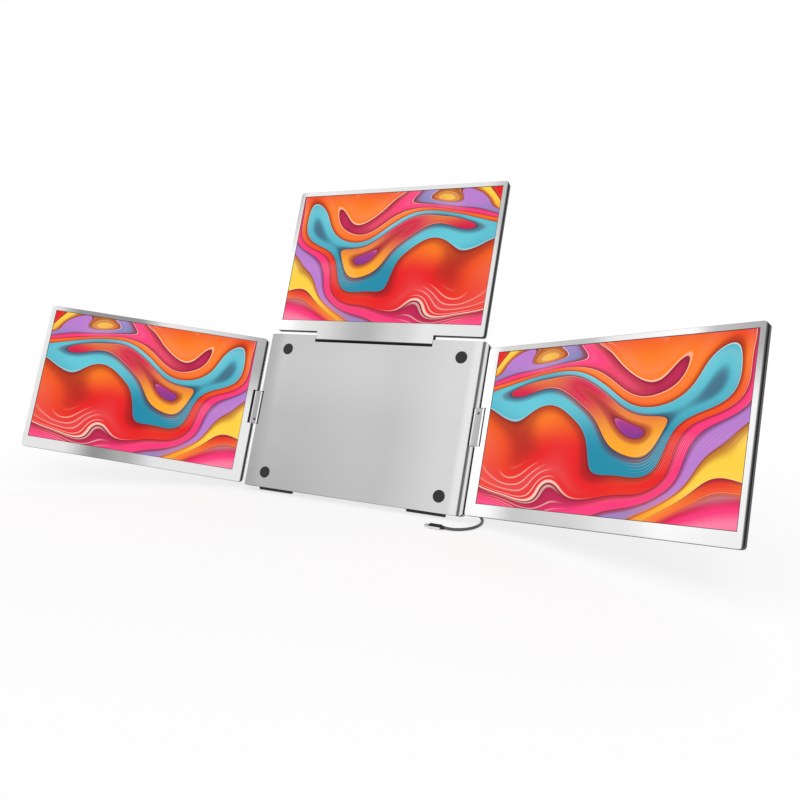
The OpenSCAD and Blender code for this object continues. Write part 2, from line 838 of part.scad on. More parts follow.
module left_bezel() { color(silver) at_screen(0) side_bezel(0); }
module left_back_cover() {
    color(dark) at_screen(0) difference() { back_cover(screen_w); screen_notch(0); }
}
module left_display() { color(black) at_screen(0) display(hinge_bezel); }
module left_backlight() { color(pale) at_screen(0) backlight(hinge_bezel); }
module left_driver_board() { color(board) at_screen(0) driver_board(screen_w); }
module left_power_button() { color(black) at_screen(0) power_button(screen_w); }
module left_rocker() { color(black) at_screen(0) rocker(screen_w); }
module left_screws() { color(steel) at_screen(0) screen_screws(screen_w); }
module left_screen_pin() { color(steel) at_link(0) translate([link[0], 0, 0]) pin_at(0); }
module left_screen_washers() {
    color(steel) at_link(0) translate([link[0], 0, 0]) washers_at(0);
}

module right_bezel() { color(silver) at_screen(1) side_bezel(1); }
module right_back_cover() {
    color(dark) at_screen(1) difference() { back_cover(screen_w); screen_notch(1); }
}
module right_display() { color(black) at_screen(1) display(hinge_bezel); }
module right_backlight() { color(pale) at_screen(1) backlight(hinge_bezel); }
module right_driver_board() { color(board) at_screen(1) driver_board(screen_w); }
module right_power_button() { color(black) at_screen(1) power_button(screen_w); }
module right_rocker() { color(black) at_screen(1) rocker(screen_w); }
module right_screws() { color(steel) at_screen(1) screen_screws(screen_w); }
module right_screen_pin() { color(steel) at_link(1) translate([link[1], 0, 0]) pin_at(1); }
module right_screen_washers() {
    color(steel) at_link(1) translate([link[1], 0, 0]) washers_at(1);
}

module top_bezel() {
    color(silver) at_top() { bezel(top_w, (top_w - picture_w) / 2); tongue(); }
}
module top_back_cover() { color(dark) at_top() back_cover(top_w); }
module top_display() { color(black) at_top() display((top_w - picture_w) / 2); }
module top_backlight() { color(pale) at_top() backlight((top_w - picture_w) / 2); }
module top_driver_board() { color(board) at_top() driver_board(top_w); }
module top_power_button() { color(black) at_top() power_button(top_w); }
module top_rocker() { color(black) at_top() rocker(top_w); }
module top_screws() { color(steel) at_top() screen_screws(top_w); }

module cable_sleeve() {
    color(black) lean_back() difference() {
        translate([frame_w / 2 - sleeve_in, sleeve_n, sleeve_v]) rotate([0, 90, 0])
            cylinder(h = sleeve_in + sleeve_out, r = sleeve_r);
        translate([frame_w / 2 - sleeve_in - 1, sleeve_n, sleeve_v]) rotate([0, 90, 0])
            cylinder(h = sleeve_in, r = cable_d / 2);
    }
}
module usb_cable() {
    color(dark) tube(smooth(cable_path, rings_per_span), cable_d / 2, cable_sides);
}
module plug_body() {
    color(silver) translate([plug_x, plug_y, plug_z]) difference() {
        along_x(plug_len) pill(plug_w, plug_t);
        // seat of the boot
        translate([plug_len - 1, 0, 0]) along_x(2) circle(plug_boot_r - 0.4, $fn = fine);
        // seat of the tip
        translate([-1, 0, 0]) along_x(2) pill(plug_tip_w + 0.1, plug_tip_t + 0.1);
    }
}
module plug_boot() {
    color(black) translate([plug_x + plug_len, plug_y, plug_z]) difference() {
        union() {
            along_x(plug_boot_len) circle(plug_boot_r - 0.4, $fn = fine);
            for (i = [0 : 2]) translate([i * 1.8, 0, 0])
                along_x(1) circle(plug_boot_r, $fn = fine);
            translate([-1, 0, 0]) along_x(1.5) circle(plug_boot_r - 0.42, $fn = fine);
        }
    }
}
module plug_tip() {
    color(steel) translate([plug_x - plug_tip_len, plug_y, plug_z])
        usb_tip(plug_tip_len, plug_tip_w, plug_tip_t);
}

frame_front();
frame_core();
frame_back();
frame_feet();
frame_screws();
lid_pads();
hub_board();
hub_sockets();
ribbon_leads();
stand_plate();
stand_pins();
stand_pad();
left_frame_pin();
right_frame_pin();
top_hinge_pins();
top_hinge_washers();
left_frame_washers();
right_frame_washers();
left_hinge_block();
left_block_screw();
right_hinge_block();
right_block_screw();
left_bezel();
left_back_cover();
left_display();
left_backlight();
left_driver_board();
left_power_button();
left_rocker();
left_screws();
left_screen_pin();
left_screen_washers();
right_bezel();
right_back_cover();
right_display();
right_backlight();
right_driver_board();
right_power_button();
right_rocker();
right_screws();
right_screen_pin();
right_screen_washers();
top_bezel();
top_back_cover();
top_display();
top_backlight();
top_driver_board();
top_power_button();
top_rocker();
top_screws();
cable_sleeve();
usb_cable();
plug_boot();
plug_body();
plug_tip();
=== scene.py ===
# %% [markdown]
# # A triple screen extender
#
# Three lit screens hang on a silver frame, one on each side and one above it. The solid parts come ready
# made, as a fixed frame of CAD nodes. This lesson gives them their finishes, and adds the fine pieces
# that a solid model leaves out: the braid of the cable, the rubber line round each picture, the drives
# of the screws, the contacts in the sockets. Everything is in metres.

# %% Load the solid parts
import json
import math

import bmesh
import bpy
from mathutils import Matrix, Vector


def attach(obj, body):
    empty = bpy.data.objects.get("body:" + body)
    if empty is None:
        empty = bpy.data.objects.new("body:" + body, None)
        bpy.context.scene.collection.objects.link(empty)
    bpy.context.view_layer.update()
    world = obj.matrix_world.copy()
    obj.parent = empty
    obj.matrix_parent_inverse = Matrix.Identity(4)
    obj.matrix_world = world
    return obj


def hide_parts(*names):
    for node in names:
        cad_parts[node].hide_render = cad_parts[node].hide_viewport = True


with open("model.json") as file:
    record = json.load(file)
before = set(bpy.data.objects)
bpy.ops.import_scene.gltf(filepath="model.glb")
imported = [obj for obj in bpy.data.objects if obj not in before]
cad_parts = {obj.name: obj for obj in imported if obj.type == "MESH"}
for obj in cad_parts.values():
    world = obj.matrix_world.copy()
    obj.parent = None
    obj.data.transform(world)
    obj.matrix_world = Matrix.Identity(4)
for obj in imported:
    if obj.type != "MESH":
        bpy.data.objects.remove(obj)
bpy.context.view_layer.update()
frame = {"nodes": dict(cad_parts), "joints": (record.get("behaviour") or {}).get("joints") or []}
nodes = frame["nodes"]
joints = {joint["name"]: joint for joint in frame["joints"]}
scene = bpy.context.scene
scene.view_settings.view_transform = "Standard"

# %% [markdown]
# ## Sizes and places
#
# A hinged object is easiest to dress when each part has its own upright drawing board. A place is a
# matrix that carries points from such a board to where the part stands. On every board x runs to the
# viewer's right, y goes backwards and z goes up. The frame leans back, and each side screen is then
# turned towards the viewer about its hinge. The hinge positions are read from the joints, so that the
# new pieces sit exactly where the solids are.

# %% Sizes of the object, in metres
MM = 0.001
LEAN = math.radians(23)
SWING = math.radians(22)
PICTURE_W, PICTURE_H = 0.3447, 0.2154
CHIN, HINGE_BEZEL, FAR_BEZEL, TOP_BEZEL = 0.0175, 0.0173, 0.008, 0.00815
SCREEN_W = HINGE_BEZEL + PICTURE_W + FAR_BEZEL
SCREEN_H, SCREEN_T = 0.240, 0.0105
TOP_W = PICTURE_W + 2 * TOP_BEZEL
FRAME_W, FRAME_H, FRAME_T = 0.379, 0.253, 0.016
PIN_IN = {"left": 0.004, "right": 0.006}
PIN_DEEP = {"left": 0.0055, "right": 0.0025}
HINGE_MIDDLE = 0.125
TOP_AXIS_TO_SCREEN = 0.0115


print(f"screens {SCREEN_W * 1000:.1f} mm wide, frame {FRAME_W * 1000:.1f} mm wide")


# %% Boards and their places
def turned(lean, swing):
    """The rotation of a board that leans back and is then swung about its own upright edge."""
    return Matrix.Rotation(-lean, 4, "X") @ Matrix.Rotation(swing, 4, "Z")


def hinge(name):
    """Where a joint's axis passes, in metres."""
    return Vector(joints[name]["pos_m"])


def board(rotation, known, on_board):
    """The place whose board point on_board lands on the known point in space."""
    return Matrix.Translation(known - rotation @ Vector(on_board)) @ rotation


PLACES = {
    "top": board(turned(LEAN, 0), hinge("top_tilt"), (TOP_W / 2, SCREEN_T / 2, -TOP_AXIS_TO_SCREEN)),
    "left": board(turned(LEAN, SWING), hinge("left_screen_turn"),
                  (SCREEN_W - PIN_IN["left"], PIN_DEEP["left"], HINGE_MIDDLE)),
    "right": board(turned(LEAN, -SWING), hinge("right_screen_turn"),
                   (PIN_IN["right"], PIN_DEEP["right"], HINGE_MIDDLE)),
    "frame": board(turned(LEAN, 0), hinge("top_tilt"), (0, SCREEN_T / 2, FRAME_H - 0.005)),
}
SCREENS = ("top", "left", "right")
WIDTHS = {"left": SCREEN_W, "right": SCREEN_W, "top": TOP_W}
PICTURE_LEFT = {"left": FAR_BEZEL, "right": HINGE_BEZEL, "top": TOP_BEZEL}
for side, place in PLACES.items():
    print(side, "board starts at", [round(v, 4) for v in place.translation])

# %% [markdown]
# ## The camera
#
# The camera stands to the right of the object and looks a little down on it, as in the photograph. Its
# place came from fitting the corners of the screens and the frame to the corners in the picture. The
# lens is given for Blender's usual 36 mm wide sensor, and a small upward shift does what cropping the
# picture below its middle would do.

# %% Set up the camera
CAMERA_AT = Vector((0.50585, -0.90324, 0.33090))
LOOKS_LEFT, LOOKS_DOWN, ROLL = math.radians(25.51), math.radians(14.70), math.radians(-0.13)
LENS_PIXELS, MIDDLE_PIXEL, IMAGE_PIXELS = 697.9, 460.0, 800

ahead = Vector((-math.sin(LOOKS_LEFT) * math.cos(LOOKS_DOWN),
                math.cos(LOOKS_LEFT) * math.cos(LOOKS_DOWN), -math.sin(LOOKS_DOWN)))
level = Vector((math.cos(LOOKS_LEFT), math.sin(LOOKS_LEFT), 0))
upward = level.cross(ahead)
image_right = level * math.cos(ROLL) + upward * math.sin(ROLL)
image_up = upward * math.cos(ROLL) - level * math.sin(ROLL)
camera_data = bpy.data.cameras.new("camera")
camera_data.lens = LENS_PIXELS * 36 / IMAGE_PIXELS
camera_data.shift_y = (MIDDLE_PIXEL - IMAGE_PIXELS / 2) / IMAGE_PIXELS
camera = bpy.data.objects.new("camera", camera_data)
camera.matrix_world = Matrix((
    (image_right.x, image_up.x, -ahead.x, CAMERA_AT.x),
    (image_right.y, image_up.y, -ahead.y, CAMERA_AT.y),
    (image_right.z, image_up.z, -ahead.z, CAMERA_AT.z), (0, 0, 0, 1)))
scene.collection.objects.link(camera)
scene.camera = camera
print(f"lens {camera_data.lens:.1f} mm, shift {camera_data.shift_y:.3f}")

# %% [markdown]
# ## The cable
#
# A short cable leaves a rubber sleeve low on the frame's right side, drops to the table, turns round in
# one loose bend and ends in a plug that lies in front of the frame. It is a fixed length of something
# springy, so its line is one smooth curve through a few points, and it lies on the table after its
# first drop. The curve is the same one that the solid cable follows.

# %% The line that the cable follows
CABLE_D = 0.0042
SLEEVE_MOUTH = PLACES["frame"] @ Vector((FRAME_W / 2 + 0.0036, 0.0129, 0.009))
PLUG_LEN, BOOT_LEN, PLUG_Z = 0.017, 0.005, 0.003
PIECES_PER_BEND = 90
PLUG_FRONT = Vector((SLEEVE_MOUTH.x - 0.0366, SLEEVE_MOUTH.y - 0.0538, PLUG_Z))
BENDS = [(9.4, 3.2, 9.2), (17.4, 2.7, 4.9), (22.9, -6.8, 2.6), (23.9, -21.3, 2.2), (18.9, -36.3, 2.2),
         (8.4, -47.3, 2.2), (-3.6, -52.9, 2.5)]
cable_points = [SLEEVE_MOUTH]
cable_points += [Vector((SLEEVE_MOUTH.x + x * MM, SLEEVE_MOUTH.y + y * MM, z * MM)) for x, y, z in BENDS]
cable_points.append(PLUG_FRONT + Vector((PLUG_LEN + BOOT_LEN, 0, 0)))


def smooth_line(points, pieces):
    """A smooth curve that passes through the points, with that many pieces between each two."""
    padded = [2 * points[0] - points[1], *points, 2 * points[-1] - points[-2]]
    line = []
    for a, b, c, d in zip(padded, padded[1:], padded[2:], padded[3:]):
        for i in range(pieces):
            t = i / pieces
            line.append(0.5 * (2 * b + (c - a) * t + (2 * a - 5 * b + 4 * c - d) * t * t
                               + (3 * b - a - 3 * c + d) * t ** 3))
    return line + [points[-1]]


cable_line = smooth_line(cable_points, PIECES_PER_BEND)

# %% [markdown]
# A woven sleeve is two families of strands that wind round the core in opposite directions and pass
# over and under each other. Here each ring of the tube gets its radius from two crossing waves, one for
# each family. The higher wave shows, as the upper strand does. The rings are turned as little as possible
# from one to the next, so that the braid doesn't wring.

# %% A helper that links a finished piece
def object_of(name, mesh, body, smooth=True):
    """Links a finished mesh as a piece that rides on a body."""
    mesh.polygons.foreach_set("use_smooth", [smooth] * len(mesh.polygons))
    piece = bpy.data.objects.new(name, mesh)
    scene.collection.objects.link(piece)
    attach(piece, body)
    return piece


# %% Build the braided tube
BRAID_SIDES, STRANDS, TURN_LENGTH, BRAID_DEPTH = 48, 8, 0.014, 0.00016
STRAND_ROUNDNESS = 0.7


def braid_radius(angle, along):
    """Radius of the sleeve where its upper strand passes."""
    one = math.cos(STRANDS * (angle / 2 + math.pi * along / TURN_LENGTH))
    other = math.cos(STRANDS * (angle / 2 - math.pi * along / TURN_LENGTH))
    higher = max(abs(one), abs(other)) ** STRAND_ROUNDNESS
    return CABLE_D / 2 - BRAID_DEPTH * (1 - higher)


def braided_tube(name, line):
    """A closed tube along the line."""
    corners, faces = [], []
    side = Vector((0, 0, 1))
    gone = 0
    for i, point in enumerate(line):
        before, after = line[max(i - 1, 0)], line[min(i + 1, len(line) - 1)]
        heading = (after - before).normalized()
        side = (side - heading * side.dot(heading)).normalized()
        other = heading.cross(side)
        gone += (point - before).length
        for k in range(BRAID_SIDES):
            angle = 2 * math.pi * k / BRAID_SIDES
            radius = braid_radius(angle, gone)
            corners.append(point + radius * (math.cos(angle) * side + math.sin(angle) * other))
    for i in range(len(line) - 1):
        for k in range(BRAID_SIDES):
            n = (k + 1) % BRAID_SIDES
            a, b = i * BRAID_SIDES, (i + 1) * BRAID_SIDES
            faces.append((a + k, a + n, b + n, b + k))
    faces.append(tuple(reversed(range(BRAID_SIDES))))
    faces.append(tuple(range((len(line) - 1) * BRAID_SIDES, len(line) * BRAID_SIDES)))
    mesh = bpy.data.meshes.new(name)
    mesh.from_pydata([tuple(c) for c in corners], [], faces)
    return mesh


print(f"{STRANDS} strands each way, {BRAID_DEPTH * 1000:.2f} mm deep")

cable = object_of("braided_cable", braided_tube("braided_cable", cable_line), "frame")
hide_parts("usb_cable")
print(f"{cable.name}: {len(cable.data.polygons)} faces")

# %% [markdown]
# ## Floor, backdrop and light
#
# The photograph shows the object on plain white. The floor is a large pale sheet that is mostly lit by
# its own colour for the camera, so that it reads as white but still keeps a soft shadow. The world is
# white wherever the camera or a reflection looks at it, and dimmer as a source of light, so that pale
# metal doesn't burn out. Three large lamps give the soft light of a photographer's tent.

# %% Floor
FLOOR_HALF = 30
floor_mesh = bpy.data.meshes.new("floor")
floor_mesh.from_pydata([(-FLOOR_HALF, -FLOOR_HALF, 0), (FLOOR_HALF, -FLOOR_HALF, 0),
                        (FLOOR_HALF, FLOOR_HALF, 0), (-FLOOR_HALF, FLOOR_HALF, 0)], [], [(0, 1, 2, 3)])
floor = bpy.data.objects.new("floor", floor_mesh)
scene.collection.objects.link(floor)
print(f"floor {2 * FLOOR_HALF} m wide")

# %% World
AS_LIGHT, AS_SEEN = 0.72, 1.0
world = bpy.data.worlds.new("studio")
scene.world = world
world.use_nodes = True
wires = world.node_tree
wires.nodes.clear()
ray = wires.nodes.new("ShaderNodeLightPath")
looks = wires.nodes.new("ShaderNodeMath")
looks.operation = "MAXIMUM"
wires.links.new(ray.outputs["Is Camera Ray"], looks.inputs[0])
mirrors = wires.nodes.new("ShaderNodeMath")
mirrors.operation = "MAXIMUM"
wires.links.new(ray.outputs["Is Glossy Ray"], mirrors.inputs[0])
wires.links.new(ray.outputs["Is Transmission Ray"], mirrors.inputs[1])
wires.links.new(mirrors.outputs[0], looks.inputs[1])
strength = wires.nodes.new("ShaderNodeMapRange")
strength.inputs["To Min"].default_value = AS_LIGHT
strength.inputs["To Max"].default_value = AS_SEEN
wires.links.new(looks.outputs[0], strength.inputs["Value"])
sky = wires.nodes.new("ShaderNodeBackground")
wires.links.new(strength.outputs[0], sky.inputs["Strength"])
sky.inputs["Color"].default_value = (1, 1, 1, 1)
wires.links.new(sky.outputs[0], wires.nodes.new("ShaderNodeOutputWorld").inputs[0])
print(f"world lights with {AS_LIGHT} and is seen as {AS_SEEN}")

# %% Lamps
LIT_PLACE = (0, 0, 0.2)


def lamp(name, at, size, watts):
    """A round soft lamp that points at the object."""
    data = bpy.data.lights.new(name, "AREA")
    data.shape, data.size, data.energy = "DISK", size, watts
    light = bpy.data.objects.new(name, data)
    light.location = at
    light.rotation_euler = (Vector(LIT_PLACE) - Vector(at)).to_track_quat("-Z", "Y").to_euler()
    scene.collection.objects.link(light)


lamp("key_lamp", (1.1, -1.7, 1.9), 1.4, 9)
lamp("fill_lamp", (-1.9, -1.2, 1.3), 1.6, 4)
lamp("back_lamp", (0.3, 2.0, 1.8), 1.6, 6)
print("three lamps")

# %% [markdown]
# ## Building finishes
#
# Every finish is a tree of shader nodes. A small class keeps the trees short: each call adds one node,
# fills its inputs with numbers or with the results of earlier calls, and returns the result. Patterns
# read object coordinates, which are metres here, so a grain has the same true size on every part.


# %% A helper that writes node trees
class Finish:
    """One material under construction."""

    def __init__(self, name):
        self.material = bpy.data.materials.new(name)
        self.material.use_nodes = True
        self.tree = self.material.node_tree
        self.tree.nodes.clear()
        self.output = self.tree.nodes.new("ShaderNodeOutputMaterial")
        self.place = self.tree.nodes.new("ShaderNodeTexCoord").outputs["Object"]

    def add(self, kind, result=0, props=(), **inputs):
        """Adds a node. Inputs are named by their label, or i0, i1 and so on by number."""
        node = self.tree.nodes.new("ShaderNode" + kind)
        for key, value in dict(props).items():
            setattr(node, key, value)
        for key, value in inputs.items():
            socket = node.inputs[int(key[1:]) if key[1:].isdigit() else key.replace("_", " ")]
            if isinstance(value, bpy.types.NodeSocket):
                self.tree.links.new(value, socket)
            elif value is not None:
                socket.default_value = value
        return node.outputs[result]

    def math(self, what, a, b=None, c=None):
        return self.add("Math", props={"operation": what}, i0=a, i1=b, i2=c)

    def mix(self, share, a, b, how="MIX"):
        return self.add("Mix", result=2, props={"data_type": "RGBA", "blend_type": how},
                        i0=share, i6=a, i7=b)

    def fade(self, value, low, high):
        """0 below low, 1 above high and a soft step between."""
        return self.add("MapRange", props={"interpolation_type": "SMOOTHSTEP"}, Value=value,
                        From_Min=low, From_Max=high)

    def spread(self, value, low, high):
        """Stretches 0..1 to low..high."""
        return self.add("MapRange", Value=value, To_Min=low, To_Max=high)

    def ramp(self, share, stops, how="LINEAR"):
        """A colour ramp with (position, colour) stops; a plain number is a grey."""
        node = self.tree.nodes.new("ShaderNodeValToRGB")
        node.color_ramp.interpolation = how
        while len(node.color_ramp.elements) < len(stops):
            node.color_ramp.elements.new(1)
        for element, (at, colour) in zip(node.color_ramp.elements, stops):
            element.position = at
            element.color = (*colour, 1) if isinstance(colour, tuple) else (colour, colour, colour, 1)
        self.tree.links.new(share, node.inputs[0])
        return node.outputs[0]

    def noise(self, place, scale, detail=2.0, rough=0.5, twist=0.0, result="Fac"):
        return self.add("TexNoise", result=result, Vector=place, Scale=scale, Detail=detail,
                        Roughness=rough, Distortion=twist)

    def stretched(self, place, x, y, z):
        return self.add("Mapping", Vector=place, Scale=(x, y, z))

    def on_board(self, board_place):
        """Object coordinates carried back to the upright board of a part."""
        return self.add("Mapping", props={"vector_type": "TEXTURE"}, Vector=self.place,
                        Location=board_place.translation, Rotation=board_place.to_euler())

    def bump(self, height, distance, strength=1.0, under=None):
        return self.add("Bump", Height=height, Distance=distance, Strength=strength, Normal=under)

    def soft_edges(self, radius):
        """Normals that are rounded at sharp edges, so that the edges catch light."""
        return self.add("Bevel", Radius=radius)

    def surface(self, **inputs):
        """Ends the tree in a Principled shader."""
        shader = self.add("BsdfPrincipled", **inputs)
        self.tree.links.new(shader, self.output.inputs[0])
        return self.material


print("a helper with", sum(callable(value) for value in vars(Finish).values()), "calls")

# %% [markdown]
# The floor's finish mixes a plain pale surface, which takes the shadow, with its own light for the rays
# that come from the camera or from a mirror-like surface. Away from the object it is all its own light,
# as bright as the world behind it, so that no horizon shows.

# %% Finish of the floor
pale = Finish("floor_pale")
sheet = pale.add("BsdfDiffuse", Color=(0.86, 0.86, 0.86, 1))
paths = pale.tree.nodes.new("ShaderNodeLightPath")
seen = pale.math("MAXIMUM", paths.outputs["Is Camera Ray"], paths.outputs["Is Glossy Ray"])
distance = pale.add("VectorMath", result=1, props={"operation": "LENGTH"}, i0=pale.place)
away = pale.fade(distance, 0.5, 1.3)
seen = pale.math("MULTIPLY", seen, pale.spread(away, 0.62, 1.0))
glow = pale.add("Emission", Color=(1, 1, 1, 1), Strength=pale.spread(away, 1.13, 1.0))
pale.tree.links.new(pale.add("MixShader", i0=seen, i1=sheet, i2=glow), pale.output.inputs[0])
floor_mesh.materials.append(pale.material)
print("floor: its own light grows from 62 % to 100 % away from the object")

# %% [markdown]
# ## Satin aluminium
#
# The bezels and the frame are aluminium with a fine satin finish. In soft light such metal never shows
# one even grey: broad bands of light and shade lie along each edge, because it mirrors the room in a
# blurred way. Here these bands are painted reflections in the colour: two soft ramps, one for the upper
# and one for the lower edge of a part, read from left to right on its board. A third ramp reads the depth
# of the board and paints shade on the sides of these parts. Where the tone is that dark, the surface is
# matt and no longer a bare metal. Fine lines of the brushing and a trace of unevenness in the gloss go
# over everything.

# %% Satin aluminium with painted bands of light and shade
# DARK and LIGHT are the darkest and the lightest tones of the painted reflection bands.
DARK, LIGHT = 0.30, 0.80
EDGE_ROUNDING = 0.00025
DARKEST_METAL, BARE_METAL, DARK_ROUGHNESS = 0.10, 0.30, 0.62


def satin(name, place, width, height, upper, lower, turn=(0.45, 0.8), roughness=0.30, edge=None,
          deep=SCREEN_T):
    """Painted reflections as tone bands read from left to right on the board; edge gives the painted shade
    and highlights from front to back, over deep.
    """
    f = Finish(name)
    at = f.on_board(place)
    position = f.add("SeparateXYZ", Vector=at).node.outputs
    across = f.math("DIVIDE", position["X"], width)
    rise = f.math("DIVIDE", position["Z"], height)
    # tone holds the painted reflections: two ramps of light and shade, for the upper and the lower edge.
    tone = f.mix(f.fade(rise, *turn), f.ramp(across, lower, "EASE"), f.ramp(across, upper, "EASE"))
    # The depth ramp paints shade on the sides, and on the frame and the plug painted highlights as well.
    if edge:
        tone = f.mix(1.0, tone, f.ramp(f.math("DIVIDE", position["Y"], deep), edge), "MULTIPLY")
    lines = f.noise(f.stretched(at, 60, 900, 4200), 1.0, 3.0, 0.6)
    tone = f.mix(1.0, tone, f.ramp(lines, [(0.2, 0.94), (0.8, 1.0)]), "MULTIPLY")
    bare = f.fade(tone, DARKEST_METAL, BARE_METAL)
    cloud = f.noise(at, 22, 2.0, 0.5)
    uneven = f.math("ADD", f.spread(cloud, -0.05, 0.05), f.spread(lines, -0.04, 0.04))
    return f.surface(Base_Color=tone, Metallic=bare, Specular_IOR_Level=0.05,
                     Roughness=f.math("ADD", f.spread(bare, DARK_ROUGHNESS, roughness), uneven),
                     Normal=f.bump(lines, 0.00001, 0.5, under=f.soft_edges(EDGE_ROUNDING)))


print(f"tones from {DARK} to {LIGHT}, and matt below {DARKEST_METAL}")

# %% [markdown]
# Each part now gets its ramps: stops of (position, tone). The screens share one ramp that paints shade on
# their sides, and a painted shade on their right rim, where a chamfer would face away from the light. The
# front of the frame has a painted highlight, a bright strip, on its left edge, and the painted shade of a
# groove and of its rim on its right one. All of these are painted light and shade only; nothing is cut. On
# the frame's sides the front shell is painted dark as shade, and the rear shell starts with a painted
# highlight, a bright band behind the real gap between the two.

# %% Bezels of the screens
# Painted shade: the sides of each bezel are darkened from about 0.2 mm behind its front face.
SCREEN_SIDE_SHADE = [(0.0, 1.0), (0.010, 1.0), (0.020, 0.05), (0.09, 0.03), (0.30, 0.05)]
# Painted shade on the right rim of each bezel, as on a chamfer turned away from the light.
RIM_SHADE_START = 0.9945
RIM_SHADE = [(0.9965, 0.06), (1.0, 0.05)]
# Painted reflections: bands of light and shade along the upper and the lower edge of each bezel.
BEZEL_TOP_PAINTED_LIGHT = {
    "left": [(0.0, 0.82), (0.14, DARK), (0.40, DARK), (0.55, LIGHT), (0.80, 0.66), (RIM_SHADE_START, 0.40), *RIM_SHADE],
    "right": [(0.0, LIGHT), (0.08, 0.50), (0.42, 0.40), (0.54, 0.62), (0.78, LIGHT), (0.86, 0.45),
              (RIM_SHADE_START, 0.38), *RIM_SHADE],
    "top": [(0.0, 0.50), (0.04, LIGHT), (0.90, LIGHT), (RIM_SHADE_START, 0.55), *RIM_SHADE],
}
BEZEL_BOTTOM_PAINTED_LIGHT = {
    "left": [(0.0, 0.80), (0.18, LIGHT), (0.34, DARK), (0.46, 0.42), (0.62, LIGHT), (RIM_SHADE_START, LIGHT), *RIM_SHADE],
    "right": [(0.0, LIGHT), (0.08, LIGHT), (0.24, 0.46), (0.42, 0.50), (0.62, 0.62), (0.78, LIGHT),
              (RIM_SHADE_START, LIGHT), *RIM_SHADE],
    "top": [(0.0, LIGHT), (0.16, 0.62), (0.45, 0.42), (0.62, 0.62), (0.76, LIGHT), (RIM_SHADE_START, LIGHT), *RIM_SHADE],
}
BEZEL_TURN = {"left": (0.45, 0.8), "right": (0.62, 0.92), "top": (0.45, 0.8)}
FINISHES = {side + "_bezel": satin(f"silver_{side}_bezel", PLACES[side], WIDTHS[side], SCREEN_H,
                                   BEZEL_TOP_PAINTED_LIGHT[side], BEZEL_BOTTOM_PAINTED_LIGHT[side], BEZEL_TURN[side], edge=SCREEN_SIDE_SHADE)
            for side in WIDTHS}
print("finishes for", ", ".join(FINISHES))

# %% Front and back of the frame
# Painted shade and highlight on the frame's sides: the front shell dark, a bright band behind the gap, then
# dark again.
FRAME_SIDE_SHADE_AND_HIGHLIGHT = [(0.0, 1.0), (0.05, 1.0), (0.10, 0.08), (0.47, 0.12), (0.58, 0.95), (0.74, 1.0), (0.80, 0.10),
              (0.975, 0.08), (0.99, 1.0)]
# Painted highlight: a bright strip along the left edge of the frame's front.
FRAME_LEFT_HIGHLIGHT = [(0.0, LIGHT), (0.009, LIGHT), (0.016, 0.32), (0.03, 0.34)]
# Painted shade of a groove that is not cut and of the right rim, with painted highlights beside them.
FRAME_RIGHT_SHADE_AND_HIGHLIGHT = [(0.955, LIGHT), (0.972, LIGHT), (0.976, 0.12), (0.984, 0.20), (0.990, LIGHT), (0.9955, LIGHT),
               (0.998, 0.10), (1.0, 0.08)]
FRAME_BOARD = PLACES["frame"] @ Matrix.Translation((-FRAME_W / 2, 0, 0))
FINISHES["frame_front"] = satin("silver_frame_front", FRAME_BOARD, FRAME_W, FRAME_H,
                                [*FRAME_LEFT_HIGHLIGHT, (0.10, 0.44), (0.6, 0.58), (0.93, 0.70), *FRAME_RIGHT_SHADE_AND_HIGHLIGHT],
                                [*FRAME_LEFT_HIGHLIGHT, (0.10, 0.40), (0.6, 0.52), (0.93, 0.68), *FRAME_RIGHT_SHADE_AND_HIGHLIGHT],
                                edge=FRAME_SIDE_SHADE_AND_HIGHLIGHT, deep=FRAME_T)
# The frame's back has painted reflections too, darker on the left and lighter on the right.
FINISHES["frame_back"] = satin("silver_frame_back", FRAME_BOARD, FRAME_W, FRAME_H,
                               [(0.0, 0.40), (0.4, 0.55), (1.0, 0.72)],
                               [(0.0, 0.36), (0.5, 0.48), (1.0, 0.70)],
                               edge=FRAME_SIDE_SHADE_AND_HIGHLIGHT, deep=FRAME_T)
print("finishes for the frame's front and back")

# %% [markdown]
# The hinge blocks are of the same metal. Each is a short bar whose two long edges are round. Its ramp
# paints the shade of the gaps in the dark notches at its sides, and a painted highlight, a bright strip
# beside its flat face. Its bands are read between its two axes, which the joints give.

# %% Hinge blocks
BLOCK_T = {"left": 0.007, "right": 0.005}
BLOCK_H = 0.054
# Painted shade in the gap of the notch, then a painted highlight on the round edge.
BLOCK_GAP_SHADE_AND_HIGHLIGHT = [(0.0, 0.04), (0.12, 0.05), (0.16, LIGHT), (0.21, 0.60), (0.26, 0.40)]
# The rest of each ramp: another painted highlight, then the painted shade of the far gap.
BLOCK_PAINTED_LIGHT = {"left": [*BLOCK_GAP_SHADE_AND_HIGHLIGHT, (0.57, 0.36), (0.62, 0.30), (0.65, LIGHT), (0.73, LIGHT), (0.77, 0.06),
                        (1.0, 0.05)],
               "right": [*BLOCK_GAP_SHADE_AND_HIGHLIGHT, (0.72, 0.36), (0.77, 0.30), (0.81, LIGHT), (0.90, LIGHT), (0.94, 0.08),
                         (1.0, 0.06)]}
for side in ("left", "right"):
    axes = sorted((PLACES[side].inverted() @ hinge(side + name) for name in ("_link_swing", "_screen_turn")),
                  key=lambda point: point.x)
    block_w = axes[1].x - axes[0].x + BLOCK_T[side]
    corner = Matrix.Translation((axes[0].x - BLOCK_T[side] / 2, axes[0].y - BLOCK_T[side] / 2,
                                 HINGE_MIDDLE - BLOCK_H / 2))
    FINISHES[side + "_block"] = satin(f"silver_{side}_block", PLACES[side] @ corner, block_w, BLOCK_H,
                                      BLOCK_PAINTED_LIGHT[side], BLOCK_PAINTED_LIGHT[side], roughness=0.34)
    print(f"{side} block {block_w * 1000:.1f} mm wide")

